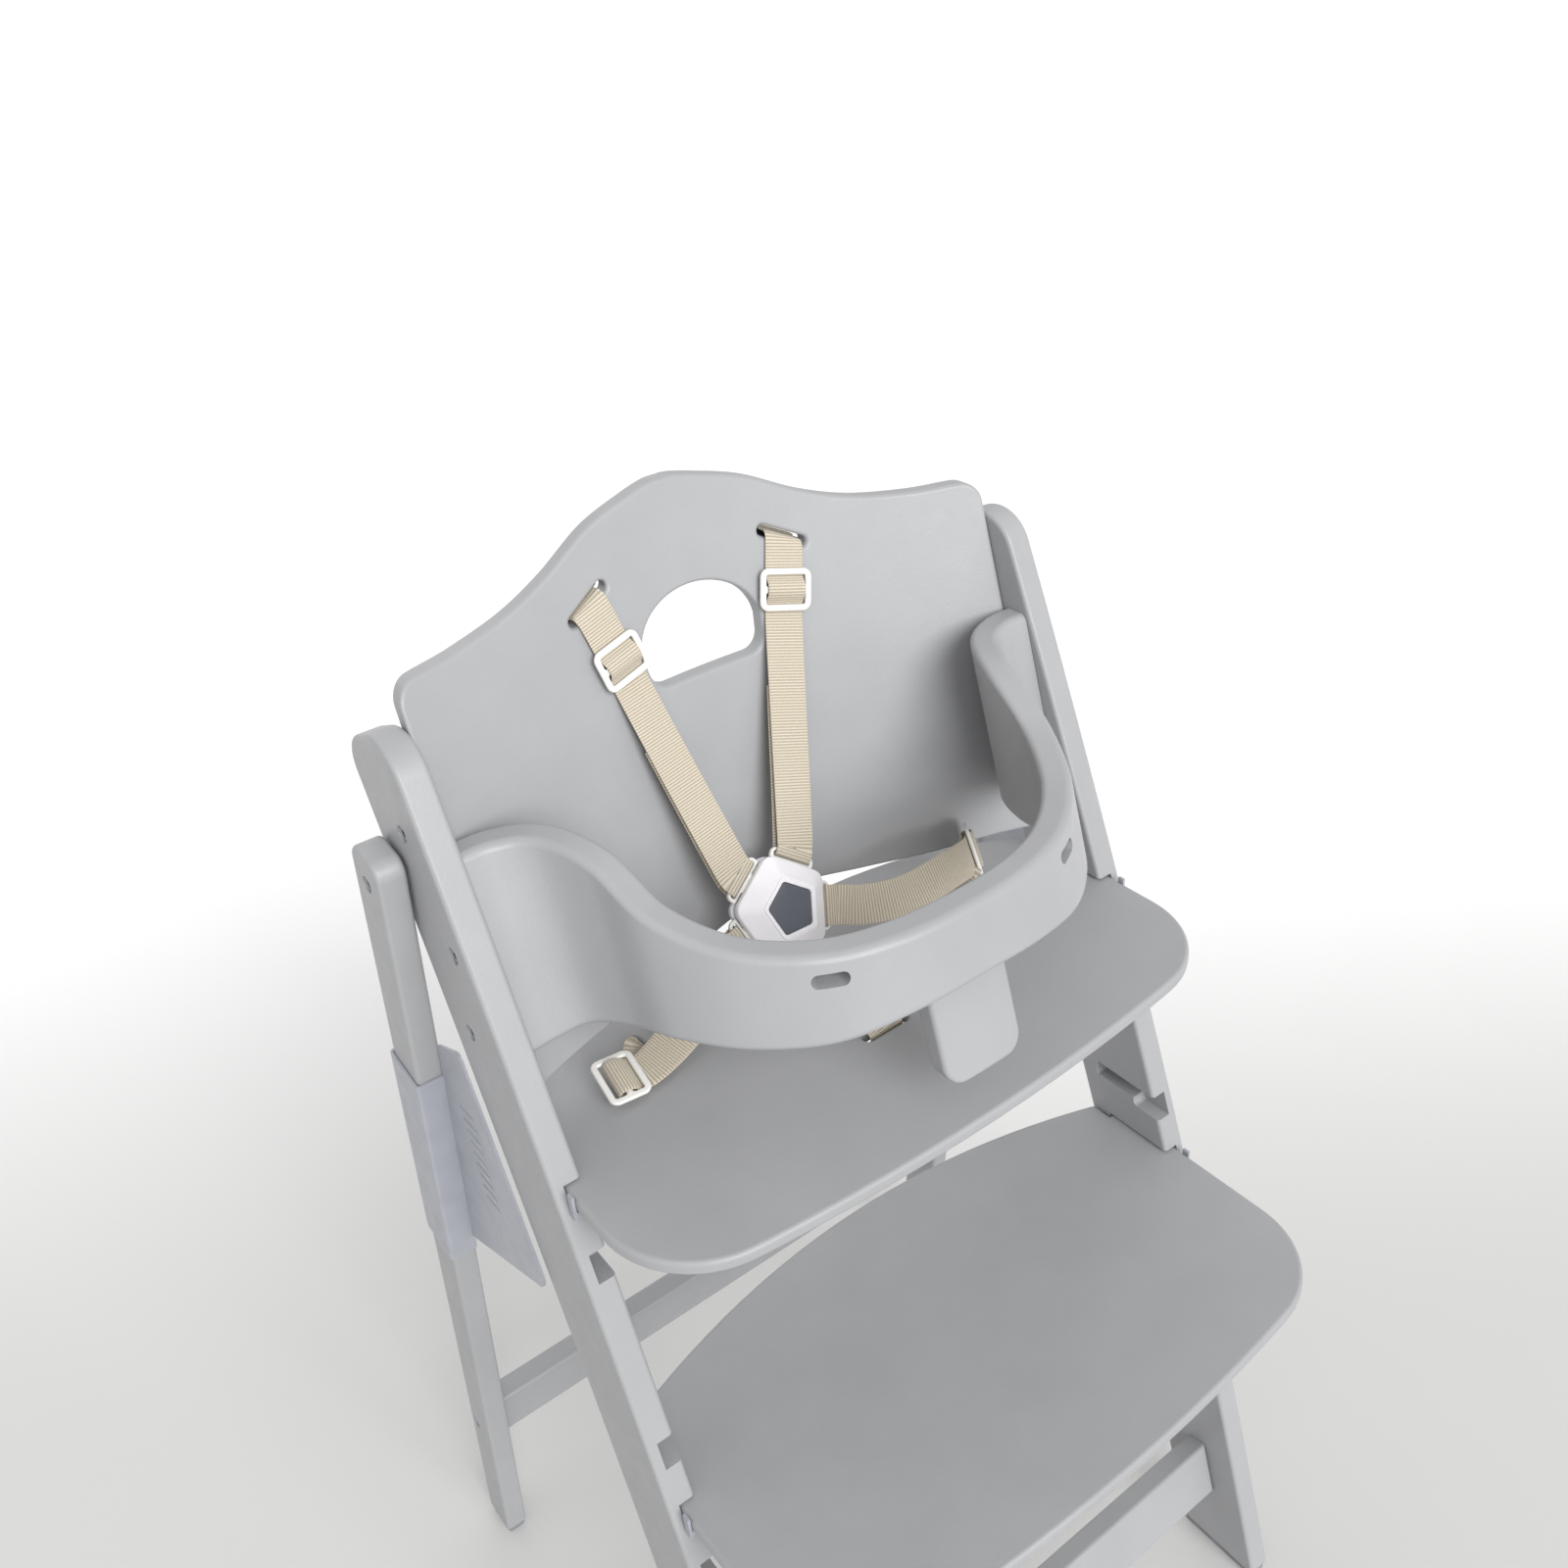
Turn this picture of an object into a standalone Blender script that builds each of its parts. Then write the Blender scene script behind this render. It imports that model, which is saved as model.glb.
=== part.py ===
# Folding high chair of painted boards: long front legs, short rear legs on fold pivots,
# bent plywood backrest, bent front guard, grooved-in seat and footrest, five-point harness.
# Metres, +Z up. The child faces -Y. The seat frame has its origin between the front legs,
# at their front edges, level with the top of the seat grooves.

import math

import bmesh
import bpy
from mathutils import Matrix, Vector

# Overall
SEAT_HEIGHT = 0.570
INNER_WIDTH = 0.400
TOUCH_GAP = 0.0003
OVERRUN = 0.002
WELD = 0.00001
SNAP = 0.000001
FLAT_ANGLE = math.radians(0.1)
RAKE = math.tan(math.radians(16.0))

# Front legs
LEG_THICK = 0.018
LEG_WIDTH = 0.066
LEG_LEAN = math.radians(21.2)
LEG_BOW_RADIUS = 5.38
LEG_TOP = 0.2385
LEG_TOP_FRONT_ROUND = 0.028
LEG_TOP_REAR_ROUND = 0.020
LEG_EDGE_ROUND = 0.0028
LEG_BOW_STEPS = 5

# Grooves for the boards
BOARD_THICK = 0.0092
SLOT_HEIGHT = 0.0112
SLOT_END_ROUND = 0.0022
GROOVE_DEPTH = 0.011
NOTCH_HEIGHT = 0.017
NOTCH_LENGTH = 0.017
NOTCH_ROUND = 0.004
SLOT_REACH = 0.0515
GROOVE_PITCH = 0.0403
SEAT_GROOVE_COUNT = 2
FOOT_GROOVE_TOP = 0.156
FOOT_GROOVE_COUNT = 5
FOOTREST_GROOVE = 1

# Seat and footrest boards
BOARD_END_GAP = 0.0005
TONGUE_END_ROUND = 0.004
BOARD_EDGE_ROUND = 0.0028
BOARD_CORNER_ROUND = 0.062
BOARD_FRONT_BOW = 0.016
SEAT_OVERHANG = 0.108
SEAT_REAR_REACH = 0.1230
SEAT_WAIST_REACH = 0.0755
SEAT_REAR_POWER = 3
FOOTREST_OVERHANG = 0.145
FOOTREST_REAR_REACH = 0.1036
FOOTREST_WAIST_REACH = 0.0660
FOOTREST_REAR_POWER = 2

# Harness slots
WEB_WIDTH = 0.025
WEB_THICK = 0.0013
SLOT_LENGTH = 0.033
SLOT_WIDTH = 0.007
CROTCH_SLOT_INSET = 0.015
WAIST_SLOT_INSET = 0.080
WAIST_SLOT_DEPTH = 0.061

# Backrest
BACK_THICK = 0.011
BACK_RADIUS = 0.495
BACK_DEPTH = 0.0840
BACK_CORNER_HEIGHT = 0.2500
BACK_CROWN_RISE = 0.0430
BACK_CORNER_ROUND = 0.012
BACK_CORNER_EASE = 0.0018
BACK_LOWER_HEIGHT = 0.020
BACK_ARCH_RISE = 0.0145
BACK_EDGE_ROUND = 0.0025
BACK_TOP_SHARES = ((0, 1), (0.045, 0.99), (0.13, 0.90), (0.28, 0.70), (0.45, 0.33), (0.61, 0.10), (0.79, 0))
BACK_LOWER_SHARES = ((0, 1), (0.16, 0.88), (0.35, 0.46), (0.60, 0.08), (0.85, 0.10))
BACK_BEND_STEPS = 16
HAND_HOLE_WIDTH = 0.084
HAND_HOLE_FLOOR = 0.181
HAND_HOLE_HEIGHT = 0.0505
HAND_HOLE_ROUND = 0.012
SHOULDER_SLOT_SIDE = 0.0686
SHOULDER_SLOT_DROP = 0.0082
SHOULDER_SLOT_TILT = math.radians(27)

# Front guard
GUARD_THICK = 0.018
GUARD_REACH = 0.152
GUARD_LEVEL = 0.120
GUARD_FRONT_TOP = 0.1295
GUARD_HUMP_RISE = 0.0410
GUARD_FRONT_BOTTOM = 0.090
GUARD_FALL = 0.034
GUARD_EDGE_ROUND = 0.0045
GUARD_STEPS = 3
GUARD_SIDE_SHARES = (0, 0.225, 0.43, 0.605, 0.7175, 0.7625, 0.825, 0.9125, 1)
GUARD_DEPTH_SHARES = (0, 0.026, 0.125, 0.305, 0.536, 0.76, 0.926, 0.992, 1)
GUARD_TOP_SHARES = (0.01, 0, 0, 0.10, 0.38, 0.84, 0.98, 1, 1)
GUARD_FALL_SHARES = (0, 0.08, 0.26, 0.32, 0.40, 0.59, 0.76, 0.94, 1)
GUARD_SLOT_INSET = 0.1168
GUARD_SLOT_HEIGHT = 0.1165
GUARD_SLOT_LENGTH = 0.0200
GUARD_SLOT_WIDTH = 0.0075

# Crotch post
POST_WIDTH = 0.055
POST_THICK = 0.014
POST_BOTTOM = 0.0245
POST_LAP = 0.024
POST_CORNER_ROUND = 0.012
POST_TOP_ROUND = 0.004
POST_EDGE_ROUND = 0.003

# Rear legs and the fold
REAR_THICK = 0.017
REAR_WIDTH = 0.033
REAR_SPLAY = math.radians(9.2)
REAR_TOP_REACH = 0.020
REAR_TOP_ROUND = 0.010
PIVOT_DEPTH = 0.120
PIVOT_HEIGHT = 0.1455
FOLD_GAP = 0.0016
WASHER_RADIUS = 0.0085

# Cross rails and feet
RAIL_HEIGHT = 0.045
RAIL_THICK = 0.018
RAIL_EDGE_ROUND = 0.003
REAR_RAIL_CLIMB = 0.150
FRONT_RAIL_CLIMB = 0.085
PAD_THICK = 0.005
PAD_INSET = 0.0015
PAD_ROUND = 0.003

# Bolts
BOLT_RADIUS = 0.0025
PIVOT_BOLT_RADIUS = 0.003
HEAD_RADIUS = 0.0048
HEAD_HEIGHT = 0.0042
HEAD_SINK = 0.0012
SOCKET_RADIUS = 0.0025
SOCKET_DEPTH = 0.0025
BACK_BOLT_ENTRY = 0.007
BACK_BOLT_HEIGHTS = (0.0660, 0.1785)
GUARD_BOLT_HEIGHT = 0.1190
GUARD_BOLT_ENTRY = 0.012
RAIL_BOLT_ENTRY = 0.026
ROUND_SIDES = 12

# Board catches
CATCH_REACH = 0.0165
CATCH_TOP = 0.0036
CATCH_WALL = 0.0018
CATCH_LAP = 0.009
CATCH_PLUG = 0.010

# Clear fold guards
FOLD_GUARD_WALL = 0.0015
FOLD_GUARD_TOP = 0.0
FOLD_GUARD_LENGTH = 0.175
FOLD_GUARD_WEB_FOOT = 0.105
FOLD_GUARD_FLAP_RISE = 0.040
FOLD_GUARD_WEB_GAP = 0.0015

# Strap sliders and anchors
SLIDER_LENGTH = 0.026
SLIDER_BAR = 0.0040
SLIDER_THICK = 0.0026
SLIDER_ROUND = 0.0055
SLIDER_EDGE_ROUND = 0.0006
SIDE_CLEAR = 0.0006
PLY_GAP = 0.0008
SLIDER_PLY_DROP = 0.0028
SLIDER_PLY_RISE = 0.0029
ANCHOR_PIN_RADIUS = 0.0035
ANCHOR_PIN_LENGTH = 0.040
LEFT_SHOULDER_SLIDER_DROP = 0.035
RIGHT_SHOULDER_SLIDER_DROP = 0.0297
SHOULDER_SLIDER_SHIFT = 0.0086
LEFT_WAIST_SLIDER_SHIFT = (-0.0271, -0.0170, 0.0087)
RIGHT_WAIST_SLIDER_SHIFT = 0.0138
RIGHT_WAIST_SLIDER_RISE = 0.0317
RIGHT_WAIST_SLIDER_BACK_GAP = 0.0229
LEFT_WAIST_RISE = 0.0050
RIGHT_WAIST_RISE = 0.0168
RIGHT_WAIST_LEAD = 0.0070
STRAP_RUN = 0.006
RETURN_PLY_GAP = 0.0030
RETURN_PLY_SHARE = 0.30
LEFT_WAIST_SHARES = ((0.30, 0, -0.06), (0.68, 0, -0.055))
RIGHT_WAIST_SHARES = ((0.30, 0.13, 0.05), (0.62, 0.16, 0), (0.87, 0.09, -0.01))
CROTCH_SHARES = ((0.25, 0, 0.04), (0.65, 0, 0.01))
SHOULDER_SHARES = ((0.45, 0, -0.008), (0.85, 0, -0.004))

# Buckle: five-sided, tipped back between the child's legs, its front cover sloping in to a small face
BUCKLE_PLACE = (-0.0143, 0.0640, 0.0490)
BUCKLE_TURN = math.radians(2)
BUCKLE_LIFT = math.radians(28.7)
BUCKLE_SPIN = math.radians(-3.2)
BUCKLE_RADIUS = 0.0348
BUCKLE_CORNER = 0.008
BUCKLE_FRONT = 0.0132
BUCKLE_SKIRT = 0.0045
BUCKLE_FACE_RADIUS = 0.0202
BUCKLE_FACE_CORNER = 0.0035
BUCKLE_BACK = 0.0055
BUCKLE_ROUND = 0.0022
BLADE_THICK = 0.0030
BLADE_WIDTH = 0.014
BLADE_START = 0.0145
TONGUE_BAR = 0.0024
TONGUE_WINDOW = 0.0031
TONGUE_ROUND = 0.004
BADGE_RADIUS = 0.0167
BADGE_CORNER = 0.0025
BADGE_THICK = 0.0036
BADGE_FLANGE = 0.0025
BADGE_FLANGE_THICK = 0.0014
BADGE_TRAVEL = 0.0018
KEY_POST_RADIUS = 0.0028
SPRING_RADIUS = 0.0040
SPRING_WIRE = 0.0004
SPRING_TURNS = 4
SPRING_POCKET = 0.0035

LACQUER = ("painted_beech", (0.455, 0.470, 0.480), 0.42, 0.0)
WEBBING = ("cream_webbing", (0.690, 0.610, 0.480), 0.85, 0.0)
WHITE_PLASTIC = ("white_acetal", (0.860, 0.860, 0.850), 0.35, 0.0)
BUCKLE_PLASTIC = ("buckle_grey_plastic", (0.640, 0.640, 0.660), 0.38, 0.0)
BADGE_PLASTIC = ("badge_dark_plastic", (0.055, 0.060, 0.070), 0.45, 0.0)
CLEAR_PLASTIC = ("clear_polycarbonate", (0.780, 0.800, 0.830), 0.12, 0.0)
STEEL = ("zinc_plated_steel", (0.560, 0.570, 0.580), 0.32, 1.0)
PAD_PLASTIC = ("pad_grey_plastic", (0.300, 0.310, 0.320), 0.60, 0.0)

for old in list(bpy.data.objects):
    bpy.data.objects.remove(old, do_unlink=True)

parts = bpy.data.collections.new("high_chair")
cutters = bpy.data.collections.new("cutters")
bpy.context.scene.collection.children.link(parts)
bpy.context.scene.collection.children.link(cutters)
materials = {}


# Small tools

def material(spec):
    name, colour, roughness, metallic = spec
    if name not in materials:
        made = bpy.data.materials.new(name)
        made.use_nodes = True
        shader = made.node_tree.nodes["Principled BSDF"]
        shader.inputs["Base Color"].default_value = (*colour, 1)
        shader.inputs["Roughness"].default_value = roughness
        shader.inputs["Metallic"].default_value = metallic
        materials[name] = made
    return materials[name]


def rounded(corners, radii, steps=4):
    """Outline through corners, each rounded by its own radius."""
    points = []
    count = len(corners)
    for i, corner in enumerate(corners):
        here = Vector(corner)
        radius = radii[i]
        before = (Vector(corners[i - 1]) - here).normalized()
        after = (Vector(corners[(i + 1) % count]) - here).normalized()
        opening = before.angle(after)
        if radius == 0 or opening > math.pi - 0.01:
            points.append(here)
            continue
        reach = radius / math.tan(opening / 2)
        centre = here + (before + after).normalized() * radius / math.sin(opening / 2)
        start = here + before * reach - centre
        sweep = (here + after * reach - centre).angle_signed(start)
        for k in range(steps + 1):
            turned = start.copy()
            turned.rotate(Matrix.Rotation(sweep * k / steps, 2))
            points.append(centre + turned)
    return points


def smooth_values(knots, position):
    """Catmull-Rom value of a list of numbers or vectors at a fractional index."""
    last = len(knots) - 1
    i = min(int(position), last - 1)
    t = position - i
    a = knots[max(i - 1, 0)] if i > 0 else knots[0] * 2 - knots[1]
    b = knots[i]
    c = knots[i + 1]
    d = knots[i + 2] if i + 2 <= last else knots[last] * 2 - knots[last - 1]
    return 0.5 * (b * 2 + (c - a) * t + (a * 2 - b * 5 + c * 4 - d) * t ** 2
                  + (b * 3 - a - c * 3 + d) * t ** 3)


def signed_area(points):
    total = 0
    for i, point in enumerate(points):
        following = points[(i + 1) % len(points)]
        total += point[0] * following[1] - following[0] * point[1]
    return total / 2


def plate(outline, thickness, edge_round=0.0, holes=(), edge_steps=1):
    """Mesh of a flat board in the XY plane, centred on Z, with rounded edges."""
    curve = bpy.data.curves.new("outline", "CURVE")
    curve.dimensions = "2D"
    curve.fill_mode = "BOTH"
    curve.extrude = thickness / 2 - edge_round
    curve.bevel_depth = edge_round
    curve.bevel_resolution = edge_steps
    curve.offset = -edge_round
    for index, loop in enumerate((outline, *holes)):
        anticlockwise = signed_area(loop) > 0
        ordered = list(loop) if anticlockwise == (index == 0) else list(reversed(loop))
        spline = curve.splines.new("POLY")
        spline.points.add(len(ordered) - 1)
        for point, place in zip(spline.points, ordered):
            point.co = (place[0], place[1], 0, 1)
        spline.use_cyclic_u = True
    return mesh_of_curve(curve)


def mesh_of_curve(curve):
    """Closed mesh of a curve, with its caps welded."""
    carrier = bpy.data.objects.new("carrier", curve)
    bpy.context.scene.collection.objects.link(carrier)
    bpy.context.view_layer.update()
    evaluated = carrier.evaluated_get(bpy.context.evaluated_depsgraph_get())
    mesh = bpy.data.meshes.new_from_object(evaluated)
    bpy.data.objects.remove(carrier, do_unlink=True)
    weld(mesh)
    return mesh


def turn_outwards(work):
    """Point the faces of one closed body outwards."""
    bmesh.ops.recalc_face_normals(work, faces=work.faces)
    if work.calc_volume(signed=True) < 0:
        bmesh.ops.reverse_faces(work, faces=work.faces)


def weld(mesh):
    """Close a curve's mesh and merge the triangles of its flat faces."""
    work = bmesh.new()
    work.from_mesh(mesh)
    bmesh.ops.remove_doubles(work, verts=work.verts, dist=WELD)
    turn_outwards(work)
    bmesh.ops.dissolve_limit(work, angle_limit=FLAT_ANGLE, verts=work.verts, edges=work.edges)
    work.to_mesh(mesh)
    work.free()


def reshape(mesh, rule):
    """Move every vertex by a rule; a rule that mirrors the body turns its faces over."""
    work = bmesh.new()
    work.from_mesh(mesh)
    for vertex in work.verts:
        vertex.co = rule(vertex.co)
    if work.calc_volume(signed=True) < 0:
        bmesh.ops.reverse_faces(work, faces=work.faces)
    work.to_mesh(mesh)
    work.free()
    return mesh


def slice_mesh(mesh, places):
    """Cut the faces along planes square to X, so that the mesh can bend."""
    work = bmesh.new()
    work.from_mesh(mesh)
    for place in places:
        everything = work.verts[:] + work.edges[:] + work.faces[:]
        bmesh.ops.bisect_plane(work, geom=everything, dist=SNAP,
                               plane_co=(place, 0, 0), plane_no=(1, 0, 0))
    work.to_mesh(mesh)
    work.free()
    return mesh


def side_view(mesh, inner_side):
    """Stand a plate drawn in (depth, height) upright: its inner face lies at inner_side."""
    half = max(vertex.co.z for vertex in mesh.vertices)
    return reshape(mesh, lambda p: Vector((inner_side + half + p.z, p.x, p.y)))


def joined(meshes):
    work = bmesh.new()
    for mesh in meshes:
        work.from_mesh(mesh)
    result = bpy.data.meshes.new("joined")
    work.to_mesh(result)
    work.free()
    return result


def mirrored(mesh):
    return reshape(mesh.copy(), lambda p: Vector((-p.x, p.y, p.z)))


def cylinder(start, end, radius, sides=ROUND_SIDES):
    """Mesh of a cylinder between two points."""
    start = Vector(start)
    end = Vector(end)
    axis = end - start
    turn = axis.to_track_quat("Z", "Y").to_matrix().to_4x4()
    work = bmesh.new()
    bmesh.ops.create_cone(work, cap_ends=True, segments=sides, radius1=radius, radius2=radius,
                          depth=axis.length, matrix=Matrix.Translation((start + end) / 2) @ turn)
    mesh = bpy.data.meshes.new("cylinder")
    work.to_mesh(mesh)
    work.free()
    return mesh


def boolean(mesh, cutter_mesh, operation, cutter_name):
    """Cut or join a mesh with another by an exact Boolean, and return the new mesh."""
    target = bpy.data.objects.new("target", mesh)
    tool = bpy.data.objects.new(cutter_name, cutter_mesh)
    tool.hide_render = True
    tool.display_type = "WIRE"
    cutters.objects.link(tool)
    bpy.context.scene.collection.objects.link(target)
    step = target.modifiers.new("boolean", "BOOLEAN")
    step.operation = operation
    step.solver = "EXACT"
    step.object = tool
    bpy.context.view_layer.update()
    evaluated = target.evaluated_get(bpy.context.evaluated_depsgraph_get())
    result = bpy.data.meshes.new_from_object(evaluated)
    bpy.data.objects.remove(target, do_unlink=True)
    tool.hide_viewport = True
    return reshape(result, lambda p: p)


def place(name, mesh, spec, parent, origin=(0, 0, 0)):
    """Make a part: its origin goes to a point of the seat frame, its parent is an empty."""
    origin = Vector(origin)
    mesh.transform(Matrix.Translation(-origin))
    mesh.name = name
    mesh.materials.clear()
    mesh.materials.append(material(spec))
    mesh.shade_smooth()
    mesh.set_sharp_from_angle(angle=math.radians(35))
    part = bpy.data.objects.new(name, mesh)
    parts.objects.link(part)
    part.parent = parent
    part.location = origin - seat_place(parent)
    return part


def place_pair(name, mesh, spec, parent, origin):
    """A right part and its mirror image on the left."""
    place(name + "_left", mirrored(mesh), spec, parent, (-origin[0], origin[1], origin[2]))
    place(name + "_right", mesh, spec, parent, origin)


def empty(name, origin, parent=None):
    """An empty at a point of the seat frame, which carries a moving group."""
    made = bpy.data.objects.new(name, None)
    bpy.context.scene.collection.objects.link(made)
    made["seat_place"] = tuple(origin)
    made.parent = parent
    if parent is not None:
        made.location = Vector(origin) - seat_place(parent)
    return made


def seat_place(carrier):
    return Vector(carrier["seat_place"])


# Front leg edges, in (depth, height)

def leg_front(height):
    return height * math.tan(LEG_LEAN) + height ** 2 / (2 * LEG_BOW_RADIUS)


def leg_slope(height):
    return math.atan(math.tan(LEG_LEAN) + height / LEG_BOW_RADIUS)


def leg_rear(height):
    return leg_front(height) + LEG_WIDTH / math.cos(leg_slope(height))


def leg_outline():
    bottom = PAD_THICK + TOUCH_GAP - SEAT_HEIGHT
    lean = leg_slope(LEG_TOP)
    rear_top = LEG_TOP - LEG_WIDTH * math.sin(lean)
    corners = []
    radii = []
    for k in range(LEG_BOW_STEPS + 1):
        height = bottom + (LEG_TOP - bottom) * k / LEG_BOW_STEPS
        corners.append((leg_front(height), height))
        radii.append(0)
    radii[0] = PAD_ROUND
    radii[-1] = LEG_TOP_FRONT_ROUND
    for k in range(LEG_BOW_STEPS + 1):
        height = rear_top + (bottom - rear_top) * k / LEG_BOW_STEPS
        corners.append((leg_rear(height), height))
        radii.append(0)
    radii[LEG_BOW_STEPS + 1] = LEG_TOP_REAR_ROUND
    radii[-1] = PAD_ROUND
    return rounded(corners, radii, 4)


def rear_line(down, across):
    """A point of the rear leg: distance down from the pivot and across towards the back."""
    along = Vector((math.sin(REAR_SPLAY), -math.cos(REAR_SPLAY)))
    back = Vector((math.cos(REAR_SPLAY), math.sin(REAR_SPLAY)))
    return Vector((PIVOT_DEPTH, PIVOT_HEIGHT)) + along * down + back * across


def rear_drop(height, across):
    """Distance down the rear leg at which a line across it reaches a height."""
    return (PIVOT_HEIGHT + across * math.sin(REAR_SPLAY) - height) / math.cos(REAR_SPLAY)


def rear_outline():
    bottom = PAD_THICK + TOUCH_GAP - SEAT_HEIGHT
    half = REAR_WIDTH / 2
    corners = [rear_line(-REAR_TOP_REACH, half), rear_line(-REAR_TOP_REACH, -half),
               rear_line(rear_drop(bottom, -half), -half), rear_line(rear_drop(bottom, half), half)]
    return rounded(corners, (REAR_TOP_ROUND, REAR_TOP_ROUND, PAD_ROUND, PAD_ROUND), 3)


# Boards

def groove_tops():
    tops = [-GROOVE_PITCH * k for k in range(SEAT_GROOVE_COUNT)]
    tops += [-FOOT_GROOVE_TOP - GROOVE_PITCH * k for k in range(FOOT_GROOVE_COUNT)]
    return tops


def footrest_top():
    return -FOOT_GROOVE_TOP - GROOVE_PITCH * FOOTREST_GROOVE


def board_level(groove_top):
    """Mid height of a board that rests on the floor of its slot."""
    return groove_top - SLOT_HEIGHT + TOUCH_GAP + BOARD_THICK / 2


def board_outline(groove_top, overhang, waist_reach, rear_reach, power):
    front = leg_front(groove_top)
    half = INNER_WIDTH / 2 + GROOVE_DEPTH - BOARD_END_GAP
    waist = INNER_WIDTH / 2 - TOUCH_GAP - BOARD_END_GAP
    tongue_end = front + SLOT_REACH - BOARD_END_GAP
    nose = front - overhang
    right = [(0, nose), (half * 0.35, nose + BOARD_FRONT_BOW * 0.12),
             (half * 0.7, nose + BOARD_FRONT_BOW * 0.5), (half, nose + BOARD_FRONT_BOW),
             (half, tongue_end), (waist, tongue_end), (waist, front + waist_reach)]
    radii = [0, 0, 0, BOARD_CORNER_ROUND, TONGUE_END_ROUND, 0, TONGUE_END_ROUND]
    bow = rear_reach - waist_reach
    for share in (0.8, 0.6, 0.4, 0.2, 0):
        right.append((waist * share, front + waist_reach + bow * (1 - share ** power)))
        radii.append(0)
    left = [(-x, y) for x, y in reversed(right[1:-1])]
    return rounded(right + left, radii + list(reversed(radii[1:-1])), 4)


def stadium(centre, length, width, tilt=0.0, steps=2):
    """Outline of a slot with round ends."""
    half_length = length / 2
    half_width = width / 2
    corners = [(-half_length, -half_width), (half_length, -half_width),
               (half_length, half_width), (-half_length, half_width)]
    turn = Matrix.Rotation(tilt, 2)
    return [turn @ p + Vector(centre) for p in rounded(corners, [half_width * 0.98] * 4, steps)]


def groove_cutters():
    """Slot and notch of every board groove, cut from the right leg's inner face."""
    meshes = []
    for top in groove_tops():
        front = leg_front(top)
        mouth = leg_front(top - NOTCH_HEIGHT) - OVERRUN * 2
        notch_end = front + NOTCH_LENGTH
        slot_end = front + SLOT_REACH
        corners = [(mouth, top), (slot_end, top), (slot_end, top - SLOT_HEIGHT),
                   (notch_end, top - SLOT_HEIGHT), (notch_end, top - NOTCH_HEIGHT),
                   (mouth, top - NOTCH_HEIGHT)]
        radii = [0, SLOT_END_ROUND, SLOT_END_ROUND, 0, NOTCH_ROUND, 0]
        mesh = plate(rounded(corners, radii, 2), GROOVE_DEPTH + OVERRUN)
        meshes.append(side_view(mesh, INNER_WIDTH / 2 - OVERRUN))
    return joined(meshes)


# Bolts along X, on the right side; depth and height give each axis

def sunk_bolt(outer_face, depth, height, shank_end, radius):
    """Socket-head bolt sunk in an outer face; its shank runs inwards to shank_end."""
    head_top = outer_face - HEAD_SINK
    head_foot = head_top - HEAD_HEIGHT
    profile = [(head_top, 0), (head_top, HEAD_RADIUS), (head_foot, HEAD_RADIUS),
               (head_foot, radius), (shank_end, radius), (shank_end, 0)]
    mesh = turned(profile, depth, height)
    socket = cylinder((head_top - SOCKET_DEPTH, depth, height), (head_top + OVERRUN, depth, height),
                      SOCKET_RADIUS, 6)
    return boolean(mesh, socket, "DIFFERENCE", "socket_cutter")


def turned(profile, depth, height):
    """Solid turned about an axis along X: the profile lists (x, radius) from out to in."""
    work = bmesh.new()
    points = [work.verts.new((x, radius, 0)) for x, radius in profile]
    edges = [work.edges.new(pair) for pair in zip(points, points[1:])]
    bmesh.ops.spin(work, geom=points + edges, cent=(0, 0, 0), axis=(1, 0, 0),
                   angle=math.tau, steps=ROUND_SIDES, use_duplicate=False)
    bmesh.ops.remove_doubles(work, verts=work.verts, dist=WELD)
    turn_outwards(work)
    mesh = bpy.data.meshes.new("turned")
    work.to_mesh(mesh)
    work.free()
    mesh.transform(Matrix.Translation((0, depth, height)))
    return mesh


def bolt_hole(outer_face, depth, height, hole_end, radius):
    """Cutter for a sunk bolt: counterbore and clearance hole as one turned shape."""
    foot = outer_face - HEAD_SINK - HEAD_HEIGHT - TOUCH_GAP
    profile = [(outer_face + OVERRUN, 0), (outer_face + OVERRUN, HEAD_RADIUS + TOUCH_GAP),
               (foot, HEAD_RADIUS + TOUCH_GAP), (foot, radius + TOUCH_GAP),
               (hole_end, radius + TOUCH_GAP), (hole_end, 0)]
    return turned(profile, depth, height)


inner_side = INNER_WIDTH / 2
shoulder_slot_height = BACK_CORNER_HEIGHT - SHOULDER_SLOT_DROP
waist_slot_side = inner_side - WAIST_SLOT_INSET
guard_slot_side = inner_side - GUARD_SLOT_INSET
leg_outer = inner_side + LEG_THICK
rear_inner = leg_outer + FOLD_GAP
rear_outer = rear_inner + REAR_THICK


def back_front(side, height):
    """Depth of the backrest's front face."""
    return BACK_DEPTH + RAKE * height - BACK_RADIUS + math.sqrt(BACK_RADIUS ** 2 - side ** 2)


def back_lean(side):
    return math.asin(side / BACK_RADIUS)


def back_middle(side, height):
    return back_front(side, height) + BACK_THICK / 2 / math.cos(back_lean(side))


guard_end_depth = back_front(inner_side, GUARD_LEVEL) - TOUCH_GAP - GUARD_THICK
guard_end_middle = guard_end_depth + GUARD_THICK / 2
back_bolts = [(back_middle(inner_side - BACK_BOLT_ENTRY / 2, h), h) for h in BACK_BOLT_HEIGHTS]
guard_bolt = (guard_end_middle + RAKE * (GUARD_BOLT_HEIGHT - GUARD_LEVEL), GUARD_BOLT_HEIGHT)
front_rail_height = FRONT_RAIL_CLIMB - SEAT_HEIGHT
front_rail_depth = (leg_front(front_rail_height) + leg_rear(front_rail_height)) / 2
front_rail_lean = leg_slope(front_rail_height)
rear_rail_drop = rear_drop(REAR_RAIL_CLIMB - SEAT_HEIGHT, 0)
rear_rail_across = (REAR_WIDTH - RAIL_THICK) / 2


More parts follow.
